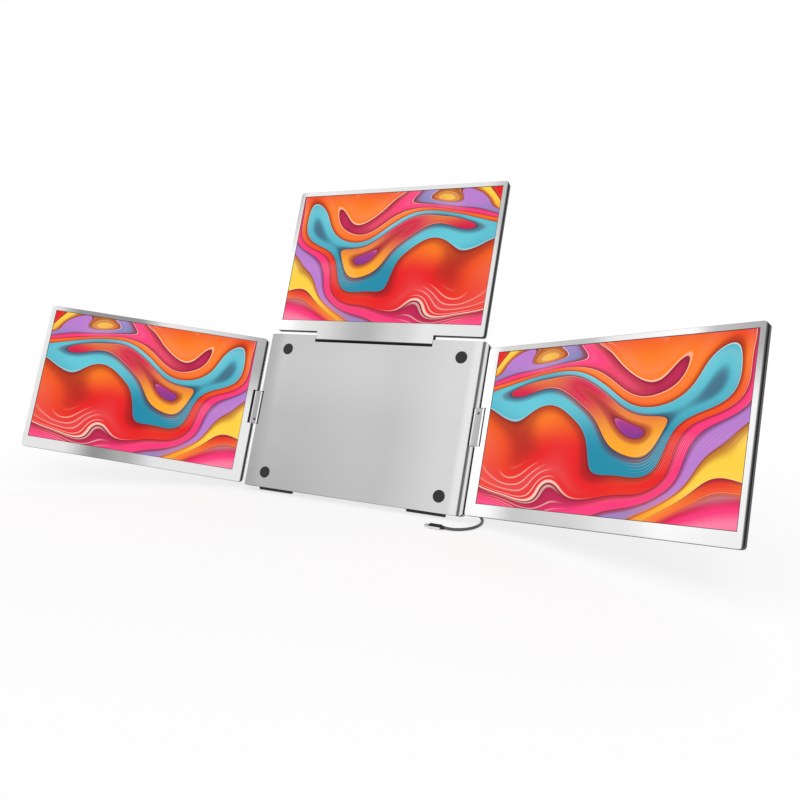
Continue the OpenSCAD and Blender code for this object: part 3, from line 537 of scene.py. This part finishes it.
# %% [markdown]
# ## The lit pictures
#
# Each screen shows an abstract sheet of liquid colour. It is computed, so that it stays sharp at any
# size. A slow noise gives a height over the sheet, and the height is cut into steps, as a map is by its
# contour lines. Each step becomes one fold: it has its own colour, it is dark where it dips under the
# next fold and pale along its crown, and a thin bright line follows its edge. A second noise trades
# each colour for another, fine strands follow the folds in some places, and one part of the sheet
# is left unsharp, as if it lay further away. The sheet glows by itself, under a matt clear surface.

# %% Colours of the folds
RED, CRIMSON, PINK, ROSE = (0.82, 0.006, 0.006), (0.66, 0.0, 0.055), (0.95, 0.035, 0.19), (1.0, 0.36, 0.50)
ORANGE, GOLD, YELLOW = (0.98, 0.20, 0.004), (1.0, 0.42, 0.012), (1.0, 0.64, 0.05)
TEAL, AQUA, LILAC, PURPLE = (0.006, 0.25, 0.38), (0.12, 0.58, 0.68), (0.50, 0.20, 0.62), (0.10, 0.03, 0.30)
STRAND_COLOUR = (1.0, 0.78, 0.62, 1)
FOLDS = [PINK, CRIMSON, YELLOW, PURPLE, GOLD, TEAL, RED, PINK,
         LILAC, YELLOW, RED, AQUA, PINK, GOLD, CRIMSON, TEAL]
OTHER_FOLDS = [CRIMSON, AQUA, ORANGE, PINK, CRIMSON, AQUA, ORANGE, PINK,
               TEAL, RED, PINK, YELLOW, RED, ORANGE, LILAC, GOLD]
WARM = [(0.0, ORANGE), (0.3, PINK), (0.55, GOLD), (0.8, RED), (1.0, ORANGE)]
FAR_AWAY = [(0.0, PINK), (0.2, ROSE), (0.4, ORANGE), (0.6, GOLD), (0.75, ORANGE), (0.88, CRIMSON),
            (1.0, PINK)]
DIP = [(0.0, (0.30, 0.08, 0.15)), (0.12, (0.56, 0.34, 0.42)), (0.42, 1.0)]
CROWN = [(0.40, 0.0), (0.74, (0.08, 0.055, 0.06)), (0.90, 0.01), (0.945, 0.01),
         (0.965, (0.70, 0.56, 0.44)), (0.985, (0.80, 0.70, 0.62)), (1.0, (0.4, 0.3, 0.25))]
print(f"{len(FOLDS)} folds, each with two colours")

# %% The sheet's height and the folds' colours
SHEET_START, SHEET_TURN = (-15.2, 0, 11.8), -0.5
ACROSS_SCALE, RISE_SCALE = 0.86, 1.18


def sheet_place(f, at, flip):
    """A place on the endless sheet for a place on the board."""
    return f.add("Mapping", Vector=at, Location=SHEET_START, Rotation=(0, SHEET_TURN, 0),
                 Scale=(flip * ACROSS_SCALE / PICTURE_H, 0, RISE_SCALE / PICTURE_H))


def sheet_height(f, p):
    """The height over the sheet, from 0 to 1. The place is bent by a noise first, so that it swirls."""
    bend = f.noise(p, 0.95, 1.0, 0.4, result="Color")
    bent = f.add("VectorMath", props={"operation": "MULTIPLY_ADD"}, i0=bend, i1=(2.3, 0, 2.3), i2=p)
    return f.add("MapRange", Value=f.noise(bent, 0.8, 1.0, 0.3, 0.4), From_Min=0.14, From_Max=0.86)


def fold_colours(f, p, height, within):
    """One of two colours for each fold, warmer on the low side of some folds."""
    first = f.ramp(height, [(i / len(FOLDS), c) for i, c in enumerate(FOLDS)], "CONSTANT")
    second = f.ramp(height, [(i / len(FOLDS), c) for i, c in enumerate(OTHER_FOLDS)], "CONSTANT")
    colour = f.mix(f.fade(f.noise(p, 1.15, 1.0, 0.4, 0.3), 0.34, 0.66), first, second)
    warm = f.ramp(f.math("FRACT", f.math("MULTIPLY", height, len(FOLDS) / 3)), WARM, "EASE")
    low_side = f.ramp(within, [(0.0, 0.55), (0.5, 0.0)], "EASE")
    return f.mix(f.math("MULTIPLY", low_side, f.fade(f.noise(p, 1.7, 0.0), 0.42, 0.60)), colour, warm)


print("three helpers for the sheet")


# %% The flowing sheet
def flowing_sheet(f, at, flip):
    """Colour of the sheet at a place on the board; a flip of -1 mirrors it."""
    p = sheet_place(f, at, flip)
    height = sheet_height(f, p)
    steps = f.math("MULTIPLY", height, len(FOLDS))
    within = f.math("FRACT", steps)
    colour = fold_colours(f, p, height, within)
    colour = f.mix(1.0, colour, f.ramp(within, DIP, "EASE"), "MULTIPLY")
    lit = f.fade(f.noise(p, 1.3, 0.0), 0.38, 0.60)
    colour = f.mix(lit, colour, f.mix(1.0, colour, f.ramp(within, CROWN), "SCREEN"))
    strand = f.fade(f.math("SINE", f.math("MULTIPLY", steps, 14 * math.pi)), 0.70, 1.0)
    bundled = f.fade(f.noise(p, 1.6, 1.0, 0.5, 0.2), 0.54, 0.64)
    colour = f.mix(f.math("MULTIPLY", f.math("MULTIPLY", strand, bundled), 0.5), colour, STRAND_COLOUR)
    unsharp = f.ramp(f.math("FRACT", f.math("MULTIPLY", height, 2.6)), FAR_AWAY, "EASE")
    return f.mix(f.fade(f.noise(p, 0.8, 0.0), 0.58, 0.70), colour, unsharp)


def lit_picture(side):
    """The finish of one display."""
    f = Finish("picture_" + side)
    middle = Matrix.Translation((PICTURE_LEFT[side] + PICTURE_W / 2, 0, CHIN + PICTURE_H / 2))
    at = f.on_board(PLACES[side] @ middle)
    colour = flowing_sheet(f, at, -1 if side == "top" else 1)
    matt = f.noise(at, 5200, 1.0)
    return f.surface(Base_Color=(0.012, 0.012, 0.014, 1), Emission_Color=colour, Emission_Strength=1.0,
                     Roughness=f.spread(matt, 0.26, 0.34), Specular_IOR_Level=0.08,
                     Normal=f.bump(matt, 0.000002, 0.3))


for side in WIDTHS:
    FINISHES[side + "_display"] = lit_picture(side)
    print(f"picture_{side}: {len(FINISHES[side + '_display'].node_tree.nodes)} nodes")

# %% [markdown]
# ## The other finishes
#
# The backs of the screens are blasted, dark grey metal: a fine grain, broad clouds in the gloss where
# hands have held it, and no clear highlight. Rubber parts are nearly black and scatter the light;
# moulded keys are a little glossier. Steel parts are ground. All of these are one recipe with other
# numbers, so one function makes them. The sizes of a grain are given in grains per metre.

# %% Plain metals, rubber and plastic
def grained(name, colour, metal, roughness, grain=6000, depth=0.00002, cloud=0.08, wear=0.10, **more):
    """A fine grain with clouds in its gloss and its tone."""
    f = Finish(name)
    fine = f.noise(f.place, grain, 2.0, 0.6)
    broad = f.noise(f.place, 35, 3.0, 0.6)
    low = tuple(c * (1 - wear) for c in colour)
    high = tuple(min(c * (1 + wear), 1) for c in colour)
    tone = f.mix(f.spread(broad, 0, 1), (*low, 1), (*high, 1))
    tone = f.mix(1.0, tone, f.ramp(fine, [(0.25, 0.90), (0.75, 1.0)]), "MULTIPLY")
    gloss = f.math("ADD", f.spread(broad, roughness - cloud, roughness + cloud), f.spread(fine, -0.03, 0.03))
    return f.surface(Base_Color=tone, Metallic=metal, Roughness=gloss,
                     Normal=f.bump(fine, depth, 0.5, under=f.soft_edges(EDGE_ROUNDING)), **more)


DARK_COVER = grained("dark_blasted_metal", (0.050, 0.051, 0.054), 0.1, 0.46, Specular_IOR_Level=0.25)
BLACK_COAT = grained("black_coated_steel", (0.030, 0.030, 0.033), 0.3, 0.45)
RUBBER = grained("black_rubber", (0.022, 0.022, 0.023), 0.0, 0.72, grain=2400, depth=0.00006)
KEY = grained("black_key_plastic", (0.030, 0.030, 0.032), 0.0, 0.38, grain=3000)
STEEL = grained("ground_steel", (0.52, 0.53, 0.55), 1.0, 0.26)
DARK_STEEL = grained("dark_steel", (0.10, 0.10, 0.11), 0.6, 0.40)
PLATED = grained("plated_steel", (0.62, 0.62, 0.65), 1.0, 0.20)
TRAY = grained("white_tray", (0.78, 0.78, 0.79), 0.0, 0.50)
GOLD_PLATE = grained("gold_contacts", (0.86, 0.58, 0.22), 1.0, 0.25)
BRAID = grained("grey_braid", (0.095, 0.098, 0.104), 0.35, 0.42, grain=9000, depth=0.00003, wear=0.25)
for material in (DARK_COVER, RUBBER, BRAID):
    print(material.name, "has", len(material.node_tree.nodes), "nodes")

# %% [markdown]
# The plug is of the same satin metal as the frame, with a painted reflection: dark over its top, a bright
# band below and a darker foot. Its depth ramp must run downwards, so its board is a place that is turned
# about x and starts at the plug's top. The bars that stand on the table are rubber with moulded ribs,
# which a wave makes as a height; the same wave paints the grooves between the ribs darker, as painted
# shade.

# %% The plug's metal and the ribbed rubber
PLUG_TOP = Matrix.Translation((0, 0, 2 * PLUG_Z)) @ Matrix.Rotation(-math.pi / 2, 4, "X")
EVEN = [(0.0, LIGHT), (1.0, LIGHT)]
# Painted reflection: dark over the top of the plug, a bright band below, darker at its foot.
PLUG_METAL = satin("plug_aluminium", PLUG_TOP, 1.0, 1.0, EVEN, EVEN, deep=2 * PLUG_Z,
                   edge=[(0.0, 0.04), (0.24, 0.05), (0.34, 1.0), (0.72, 1.0), (1.0, 0.3)])
RIB_PITCH, WAVES_PER_SCALE = 0.0022, 0.314


def ribbed_rubber():
    """Moulded ribs across the length of a rubber bar."""
    f = Finish("ribbed_rubber")
    ribs = f.add("TexWave", props={"wave_profile": "SIN"}, Vector=f.place, Scale=WAVES_PER_SCALE / RIB_PITCH,
                 Distortion=0.0)
    grit = f.noise(f.place, 2600, 2.0)
    # Painted shade: the grooves between the ribs are darker than their crests.
    tone = f.ramp(ribs, [(0.0, 0.008), (0.4, 0.022), (1.0, 0.030)])
    return f.surface(Base_Color=tone, Roughness=f.spread(grit, 0.62, 0.80),
                     Normal=f.bump(grit, 0.00004, 0.5, under=f.bump(ribs, 0.0003, 1.0)))


RIBBED = ribbed_rubber()
print(f"ribs {RIB_PITCH * 1000:.1f} mm apart")

# %% [markdown]
# Circuit boards are seen only through the slots, but a board without its copper looks wrong even there.
# A brick pattern stretched along one way gives the parallel tracks, and a cell pattern gives the pads.

# %% Circuit board and flat leads
def circuit_board():
    f = Finish("circuit_board")
    at = f.on_board(PLACES["frame"])
    flat = f.add("Mapping", Vector=at, Rotation=(math.pi / 2, 0, 0))
    tracks = f.add("TexBrick", result="Fac", Vector=flat, Scale=260.0, Mortar_Size=0.03, Brick_Width=3.0)
    pads = f.add("TexVoronoi", result="Distance", Vector=f.stretched(at, 700, 0, 700), Scale=1.0)
    board_green = f.mix(tracks, (0.006, 0.085, 0.040, 1), (0.012, 0.17, 0.075, 1))
    colour = f.mix(f.fade(pads, 0.22, 0.16), board_green, (0.72, 0.55, 0.25, 1))
    return f.surface(Base_Color=colour, Roughness=0.35, Normal=f.bump(pads, 0.00003, 0.4))


def flat_leads():
    f = Finish("flat_leads")
    lines = f.add("TexWave", Vector=f.on_board(PLACES["frame"]), Scale=420.0, Distortion=0.0)
    colour = f.mix(lines, (0.020, 0.018, 0.016, 1), (0.075, 0.050, 0.030, 1))
    return f.surface(Base_Color=colour, Roughness=f.spread(lines, 0.32, 0.42))


HUB_BOARD, LEADS = circuit_board(), flat_leads()
print(HUB_BOARD.name, "and", LEADS.name)

# %% [markdown]
# Now every CAD node gets its finish. A node keeps its mesh; only the material in its slot is changed.

# %% Which node takes which finish
FINISHES |= {"frame_core": BLACK_COAT, "frame_feet": RIBBED, "frame_screws": STEEL, "lid_pads": RUBBER,
             "hub_board": HUB_BOARD, "hub_sockets": PLATED, "ribbon_leads": LEADS,
             "stand_plate": FINISHES["frame_back"], "stand_pins": STEEL, "stand_pad": RIBBED,
             "top_hinge_pins": STEEL, "top_hinge_washers": KEY, "cable_sleeve": RUBBER, "usb_cable": BRAID,
             "plug_boot": RUBBER, "plug_body": PLUG_METAL, "plug_tip": PLATED}
for side in WIDTHS:
    FINISHES |= {side + "_back_cover": DARK_COVER, side + "_backlight": TRAY,
                 side + "_driver_board": HUB_BOARD, side + "_power_button": KEY,
                 side + "_rocker": KEY, side + "_screws": STEEL}
for side in ("left", "right"):
    FINISHES |= {side + "_hinge_block": FINISHES[side + "_block"], side + "_block_screw": DARK_STEEL,
                 side + "_frame_pin": STEEL, side + "_screen_pin": STEEL,
                 side + "_frame_washers": KEY, side + "_screen_washers": KEY}
for name, node in nodes.items():
    node.data.materials.clear()
    node.data.materials.append(FINISHES[name])
cable.data.materials.append(BRAID)
print(f"{len(nodes)} nodes have a finish")

# %% [markdown]
# ## Parts that repeat
#
# Screws, contacts and rubber dots are the same small part many times over. Geometry Nodes place them:
# the input mesh holds only points, and the tree puts a copy of one part on each point, turns it by a
# random angle with a fixed seed, makes the copies real and gives them their finish. The result is
# turned into a plain mesh, and carried from its board to its place.


# %% A tree that puts a part on every point
def wired(tree, kind, **inputs):
    """Adds a geometry node and fills its inputs, by label."""
    node = tree.nodes.new(kind)
    for key, value in inputs.items():
        socket = node.inputs[key.replace("_", " ")]
        if isinstance(value, bpy.types.NodeSocket):
            tree.links.new(value, socket)
        else:
            socket.default_value = value
    return node


def new_tree(name, **sockets):
    """An empty tree with named inputs and one geometry as its result."""
    tree = bpy.data.node_groups.new(name, "GeometryNodeTree")
    for label, kind in sockets.items():
        tree.interface.new_socket(name=label, in_out="INPUT", socket_type="NodeSocket" + kind)
    tree.interface.new_socket(name="Result", in_out="OUTPUT", socket_type="NodeSocketGeometry")
    return tree, tree.nodes.new("NodeGroupInput").outputs


def parts_on_points_tree():
    """Copies of one part on every point, each turned by a random angle up to Turn."""
    tree, given = new_tree("parts_on_points", Points="Geometry", Part="Object", Turn="Float", Seed="Int",
                           Finish="Material")
    part = wired(tree, "GeometryNodeObjectInfo", Object=given["Part"])
    chance = wired(tree, "FunctionNodeRandomValue", Max=given["Turn"], Seed=given["Seed"])
    chance_out = next(o for o in chance.outputs if o.enabled)
    spin = wired(tree, "ShaderNodeCombineXYZ", Y=chance_out)
    copies = wired(tree, "GeometryNodeInstanceOnPoints", Points=given["Points"],
                   Instance=part.outputs["Geometry"], Rotation=spin.outputs[0])
    real = wired(tree, "GeometryNodeRealizeInstances", Geometry=copies.outputs[0])
    finished = wired(tree, "GeometryNodeSetMaterial", Geometry=real.outputs[0], Material=given["Finish"])
    tree.links.new(finished.outputs[0], tree.nodes.new("NodeGroupOutput").inputs[0])
    return tree


PARTS_ON_POINTS = parts_on_points_tree()
print(f"tree {PARTS_ON_POINTS.name} has {len(PARTS_ON_POINTS.nodes)} nodes")

# %% [markdown]
# Running the tree takes three steps: give an object the points and the modifier, set the modifier's
# inputs by the identifiers of its sockets, and take the mesh of the evaluated object. The start object
# is removed again, so that no modifier is left.


# %% Running a tree and keeping its result
def grown(name, tree, start_mesh, place, **inputs):
    """Runs the tree on a mesh and returns the plain result, carried to its place."""
    holder = bpy.data.objects.new(name + "_start", start_mesh)
    scene.collection.objects.link(holder)
    modifier = holder.modifiers.new("grow", "NODES")
    modifier.node_group = tree
    identifiers = {s.name: s.identifier for s in tree.interface.items_tree if s.in_out == "INPUT"}
    for label, value in inputs.items():
        modifier[identifiers[label.replace("_", " ")]] = value
    bpy.context.view_layer.update()
    result = bpy.data.meshes.new_from_object(holder.evaluated_get(bpy.context.evaluated_depsgraph_get()))
    bpy.data.objects.remove(holder)
    result.name = name
    result.transform(place)
    return result


def points_mesh(points):
    """A mesh of loose points."""
    mesh = bpy.data.meshes.new("points")
    mesh.from_pydata([tuple(p) for p in points], [], [])
    return mesh


def part_object(name, mesh):
    """A part for the tree to copy; it is removed once its copies are made."""
    part = bpy.data.objects.new(name, mesh)
    scene.collection.objects.link(part)
    return part


print("results are plain meshes")

# %% [markdown]
# ### Screws
# A real screw shows its drive. The head here is a turned profile with a rounded rim, and in its middle
# is a six-sided socket with a floor. It is made as one closed shape: rings of points from the
# floor of the socket outwards over the head and down to the shank. The ring of the socket has six
# corners; the others are round, with as many points, so that every ring joins the next.

# %% A turned shape with rings of points
def turned_part(name, rings, sides=36):
    """A closed shape from rings (radius, y, corners), first and last one filled; corners 0 is round."""
    shape = bmesh.new()
    made = []
    for radius, y, corners in rings:
        ring = []
        for k in range(sides):
            angle = 2 * math.pi * k / sides
            reach = radius
            if corners:
                sector = 2 * math.pi / corners
                reach = radius * math.cos(sector / 2) / math.cos((angle % sector) - sector / 2)
            ring.append(shape.verts.new((reach * math.cos(angle), y, reach * math.sin(angle))))
        made.append(ring)
    for inner, outer in zip(made, made[1:]):
        for k in range(sides):
            n = (k + 1) % sides
            shape.faces.new((inner[k], inner[n], outer[n], outer[k]))
    shape.faces.new(list(reversed(made[0])))
    shape.faces.new(made[-1])
    bmesh.ops.recalc_face_normals(shape, faces=shape.faces)
    mesh = bpy.data.meshes.new(name)
    shape.to_mesh(mesh)
    shape.free()
    return mesh


print("profiles are rings of (radius, y, corners)")


# %% Screws with a six-sided socket, on the frame and on the covers
def screw_mesh(name, head, height, shank, length):
    """A screw that points along -y, its face at 0."""
    socket = head * 0.50
    drive = [(socket, -height * 0.62, 6), (socket, -0.00006, 6), (socket * 1.08, 0, 0)]
    cap = [(head * 0.80, 0, 0), (head * 0.94, -height * 0.10, 0), (head, -height * 0.34, 0),
           (head, -height, 0)]
    shaft = [(shank, -height, 0), (shank, -length, 0), (shank * 0.6, -length - 0.0003, 0)]
    return turned_part(name, drive + cap + shaft)


FRAME_SCREW_IN, FRAME_SCREW_DEEP, FRAME_SCREW_UP = 0.016, FRAME_T - 0.0002, (0.009, 0.078, 0.176, 0.228)
SCREEN_SCREW_IN, SCREEN_SCREW_DEEP, SCREEN_SCREW_UP = 0.024, SCREEN_T - 0.0001, 0.0072
screen_screw = part_object("screen_screw", screw_mesh("screen_screw", 0.0021, 0.0012, 0.00098, 0.0059))
frame_screw = part_object("frame_screw", screw_mesh("frame_screw", 0.0023, 0.0014, 0.00123, 0.0120))
for side, place in PLACES.items():
    if side == "frame":
        spots = [(s * (FRAME_W / 2 - FRAME_SCREW_IN), FRAME_SCREW_DEEP, z)
                 for s in (-1, 1) for z in FRAME_SCREW_UP]
    else:
        across = (SCREEN_SCREW_IN, WIDTHS[side] / 2, WIDTHS[side] - SCREEN_SCREW_IN)
        spots = [(x, SCREEN_SCREW_DEEP, SCREEN_SCREW_UP) for x in across]
    body = "frame" if side == "frame" else side + "_screen"
    mesh = grown(side + "_screw_set", PARTS_ON_POINTS, points_mesh(spots), place,
                 Part=frame_screw if side == "frame" else screen_screw, Turn=math.pi / 3, Seed=4,
                 Finish=STEEL)
    screws = object_of(side + "_screw_set", mesh, body, smooth=False)
    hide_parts(side + "_screws")
    print(f"{screws.name}: {len(spots)} screws")
for part in (screen_screw, frame_screw):
    bpy.data.objects.remove(part)

# %% [markdown]
# ### Rubber pads
#
# Four rubber pads on the front of the frame keep metal from touching metal. Such pads are moulded with
# raised rings, so that they grip and let the air out. The profile is a row of ring radii and heights.

# %% Pads with raised rings
PAD_R, PAD_IN, EDGE_IN = 0.009, 0.0395, 0.025
pad_rings = [(0.0010, -0.0001), (0.0014, -0.0004), (0.0030, -0.0004), (0.0034, 0.0), (0.0040, 0.0),
             (0.0044, -0.0004), (0.0060, -0.0004), (0.0064, 0.0), (0.0070, 0.0), (0.0074, -0.0004),
             (0.0085, -0.0004), (PAD_R, 0.0001), (PAD_R, 0.0008)]
pad = part_object("pad", turned_part("pad", [(r, y, 0) for r, y in pad_rings], 48))
spots = [(s * (FRAME_W / 2 - PAD_IN), 0, z) for s in (-1, 1) for z in (EDGE_IN - 0.001, FRAME_H - EDGE_IN)]
mesh = grown("ringed_lid_pads", PARTS_ON_POINTS, points_mesh(spots), PLACES["frame"],
             Part=pad, Turn=0.0, Seed=1, Finish=RUBBER)
pads = object_of("ringed_lid_pads", mesh, "frame", smooth=False)
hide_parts("lid_pads")
bpy.data.objects.remove(pad)
print(f"{len(spots)} pads, {len(pads.data.polygons)} faces")

# %% [markdown]
# ### The line round each picture
#
# Between the glass and the metal of a bezel sits a thin black gasket. In the photograph it is the fine
# dark line round the picture. It is a rectangular ring with four corners in its profile, and its inner
# front edge is lowered a little, so that it slopes down to the glass.

# %% Gaskets
GASKET_W, GASKET_GAP, GASKET_FRONT, GASKET_BACK = 0.00075, 0.00002, 0.00012, 0.00066


def rectangle_ring(name, x, z, w, h, profile):
    """A closed ring along a rectangle. The profile is a row of (inwards, y) points."""
    corners = []
    for inwards, y in profile:
        corners += [(x + inwards, y, z + inwards), (x + w - inwards, y, z + inwards),
                    (x + w - inwards, y, z + h - inwards), (x + inwards, y, z + h - inwards)]
    faces = []
    for i in range(len(profile)):
        a, b = 4 * i, 4 * ((i + 1) % len(profile))
        faces += [(a + k, a + (k + 1) % 4, b + (k + 1) % 4, b + k) for k in range(4)]
    shape = bmesh.new()
    points = [shape.verts.new(c) for c in corners]
    for face in faces:
        shape.faces.new([points[i] for i in face])
    bmesh.ops.recalc_face_normals(shape, faces=shape.faces)
    mesh = bpy.data.meshes.new(name)
    shape.to_mesh(mesh)
    shape.free()
    return mesh


PROFILE = [(GASKET_GAP, GASKET_FRONT), (GASKET_W * 0.5, GASKET_FRONT), (GASKET_W, GASKET_BACK - 0.0002),
           (GASKET_W, GASKET_BACK), (GASKET_GAP, GASKET_BACK)]
for side in SCREENS:
    mesh = rectangle_ring(side + "_gasket", PICTURE_LEFT[side], CHIN, PICTURE_W, PICTURE_H, PROFILE)
    mesh.transform(PLACES[side])
    mesh.materials.append(RUBBER)
    object_of(side + "_gasket", mesh, side + "_screen", smooth=False)
print("a gasket round each picture")

# %% [markdown]
# ### Grilles behind the slots
#
# The air and sound slots in the covers would show the inside. Real covers have a perforated strip glued
# behind them. One tile is a thin plate with an eight-sided hole. Geometry Nodes put a column of tiles
# behind every slot. As there are hundreds of tiles, each has only 32 faces.

# %% A perforated tile
def tile_mesh(name, w, h, thick):
    """A plate round an eight-sided hole, its middle at 0, facing y."""
    outer = [(w, 0), (w, h), (0, h), (-w, h), (-w, 0), (-w, -h), (0, -h), (w, -h)]
    hole = min(w, h) * 0.62
    rows = []
    eighths = [k * math.pi / 4 for k in range(8)]
    for y in (0, -thick):
        rows.append([(x / 2, y, z / 2) for x, z in outer])
        rows.append([(hole * math.cos(angle), y, hole * math.sin(angle)) for angle in eighths])
    front_out, front_in, back_out, back_in = ([8 * i + k for k in range(8)] for i in range(4))
    faces = []
    for a, b in ((front_out, front_in), (front_in, back_in), (back_in, back_out), (back_out, front_out)):
        faces += [(a[k], a[(k + 1) % 8], b[(k + 1) % 8], b[k]) for k in range(8)]
    shape = bmesh.new()
    points = [shape.verts.new(c) for row in rows for c in row]
    for face in faces:
        shape.faces.new([points[i] for i in face])
    bmesh.ops.recalc_face_normals(shape, faces=shape.faces)
    mesh = bpy.data.meshes.new(name)
    shape.to_mesh(mesh)
    shape.free()
    return mesh


TILE_W, TILE_H, TILE_T, PLATE_T = 0.0019, 0.0019, 0.00025, 0.0016
tile = part_object("tile", tile_mesh("tile", TILE_W, TILE_H, TILE_T))
print(f"a tile has {len(tile.data.polygons)} faces")


# %% Tiles behind the slots of the covers and of the frame
def across_cover(side, x):
    """The left cover is the mirror image of the right one, so it is measured from its right end."""
    return WIDTHS[side] - x if side == "left" else x


def slot_spots(x, y, z, count, pitch, tall, step):
    """Points up each slot of a row whose middle is at x, z, one for every step."""
    rows = max(1, round(tall / step))
    return [(x + (i - (count - 1) / 2) * pitch, y, z + (k - (rows - 1) / 2) * step)
            for i in range(count) for k in range(rows)]


FRAME_SLOTS = {"count": 7, "pitch": 0.005, "tall": 0.0228}
AIR_SLOTS = {"count": 33, "pitch": 0.006, "tall": 0.0095}
SOUND_SLOTS = {"count": 9, "pitch": 0.004, "tall": 0.0114}
FRAME_SLOTS_IN, FRAME_SLOTS_DOWN, BEHIND_FRAME = 0.0495, 0.057, 0.00075
AIR_SLOTS_DOWN, SOUND_SLOTS_UP, BEHIND_COVER = 0.016, 0.022, 0.00002
SOUND_SLOTS_FROM_START, SOUND_SLOTS_FROM_END = 0.060, 0.128

for side, place in PLACES.items():
    spots = []
    if side == "frame":
        deep = FRAME_T - PLATE_T - BEHIND_FRAME
        for s in (-1, 1):
            spots += slot_spots(s * (FRAME_W / 2 - FRAME_SLOTS_IN), deep, FRAME_H - FRAME_SLOTS_DOWN,
                                step=TILE_H, **FRAME_SLOTS)
    else:
        deep = SCREEN_T - PLATE_T - BEHIND_COVER
        spots += slot_spots(WIDTHS[side] / 2, deep, SCREEN_H - AIR_SLOTS_DOWN, step=TILE_H, **AIR_SLOTS)
        for x in (SOUND_SLOTS_FROM_START, WIDTHS[side] - SOUND_SLOTS_FROM_END):
            spots += slot_spots(across_cover(side, x), deep, SOUND_SLOTS_UP, step=TILE_H, **SOUND_SLOTS)
    body = "frame" if side == "frame" else side + "_screen"
    mesh = grown(side + "_grille", PARTS_ON_POINTS, points_mesh(spots), place,
                 Part=tile, Turn=0.0, Seed=1, Finish=BLACK_COAT)
    grille = object_of(side + "_grille", mesh, body, smooth=False)
    print(f"{grille.name}: {len(spots)} tiles, {len(mesh.polygons)} faces")
bpy.data.objects.remove(tile)

# %% [markdown]
# ### Contacts in the sockets and in the plug
#
# A socket is recognised by the gold strips on its tongue. Each strip is one small bar with a sloped
# front end, half sunk into the tongue. The contacts lie on both faces of each tongue.

# %% Gold contacts
CONTACT_L, CONTACT_W, CONTACT_T = 0.0046, 0.00027, 0.00016


def contact_mesh(name):
    """A flat bar along x whose front end tapers, its middle at 0."""
    half, wide, thick = CONTACT_L / 2, CONTACT_W / 2, CONTACT_T / 2
    shape = bmesh.new()
    rows = []
    for x, share in ((-half, 0.35), (-half + 0.0003, 1.0), (half, 1.0)):
        corners = [(x, y * thick * share, z * wide) for y, z in ((-1, -1), (1, -1), (1, 1), (-1, 1))]
        rows.append([shape.verts.new(corner) for corner in corners])
    for a, b in zip(rows, rows[1:]):
        for k in range(4):
            shape.faces.new((a[k], a[(k + 1) % 4], b[(k + 1) % 4], b[k]))
    shape.faces.new(rows[0])
    shape.faces.new(rows[-1])
    bmesh.ops.recalc_face_normals(shape, faces=shape.faces)
    mesh = bpy.data.meshes.new(name)
    shape.to_mesh(mesh)
    shape.free()
    return mesh


contact = part_object("contact", contact_mesh("contact"))
SOCKET_DEEP, SOCKET_IN, TONGUE_IN = 0.0122, 0.0006, 0.0011
SOCKETS = [(0.022, 12, 0.0005, 0.00035), (0.038, 12, 0.0005, 0.00035), (0.056, 10, 0.00075, 0.0004)]
tongue_x = -FRAME_W / 2 + SOCKET_IN + TONGUE_IN + CONTACT_L / 2
spots = []
for height, count, pitch, half_t in SOCKETS:
    spots += [(tongue_x, SOCKET_DEEP + face * half_t, height + (k - (count - 1) / 2) * pitch)
              for face in (-1, 1) for k in range(count)]
mesh = grown("socket_contacts", PARTS_ON_POINTS, points_mesh(spots), PLACES["frame"],
             Part=contact, Turn=0.0, Seed=1, Finish=GOLD_PLATE)
object_of("socket_contacts", mesh, "frame", smooth=False)
print(f"{len(spots)} contacts in {len(SOCKETS)} sockets")
bpy.data.objects.remove(contact)

# %% [markdown]
# ### Marks for the fingers
#
# The buttons sit on the back, where they can't be seen in use. Small raised dots let a finger tell them
# apart: three on the power key, one and two on the ends of the rocker.

# %% Raised dots on the keys
dot = part_object("dot", turned_part("dot", [(0.00015, 0.00014, 0), (0.00034, 0.0001, 0), (0.00045, 0.0, 0),
                                             (0.00045, -0.0002, 0)], 20))
KEY_FACE, KEY_Z = SCREEN_T - 0.0002, 0.026
KEYS = [("power", 0.034, (-0.002, 0, 0.002)), ("rocker", 0.064, (-0.009, 0.008, 0.0098))]
for side in SCREENS:
    for key, from_end, dots in KEYS:
        middle = across_cover(side, WIDTHS[side] - from_end)
        at = [(middle + x, KEY_FACE, KEY_Z) for x in dots]
        mesh = grown(f"{side}_{key}_dots", PARTS_ON_POINTS, points_mesh(at), PLACES[side],
                     Part=dot, Turn=0.0, Seed=1, Finish=KEY)
        object_of(f"{side}_{key}_dots", mesh, f"{side}_{key}_key", smooth=False)
bpy.data.objects.remove(dot)
print(f"raised dots on {len(KEYS) * len(SCREENS)} keys")

# %% [markdown]
# ## The end
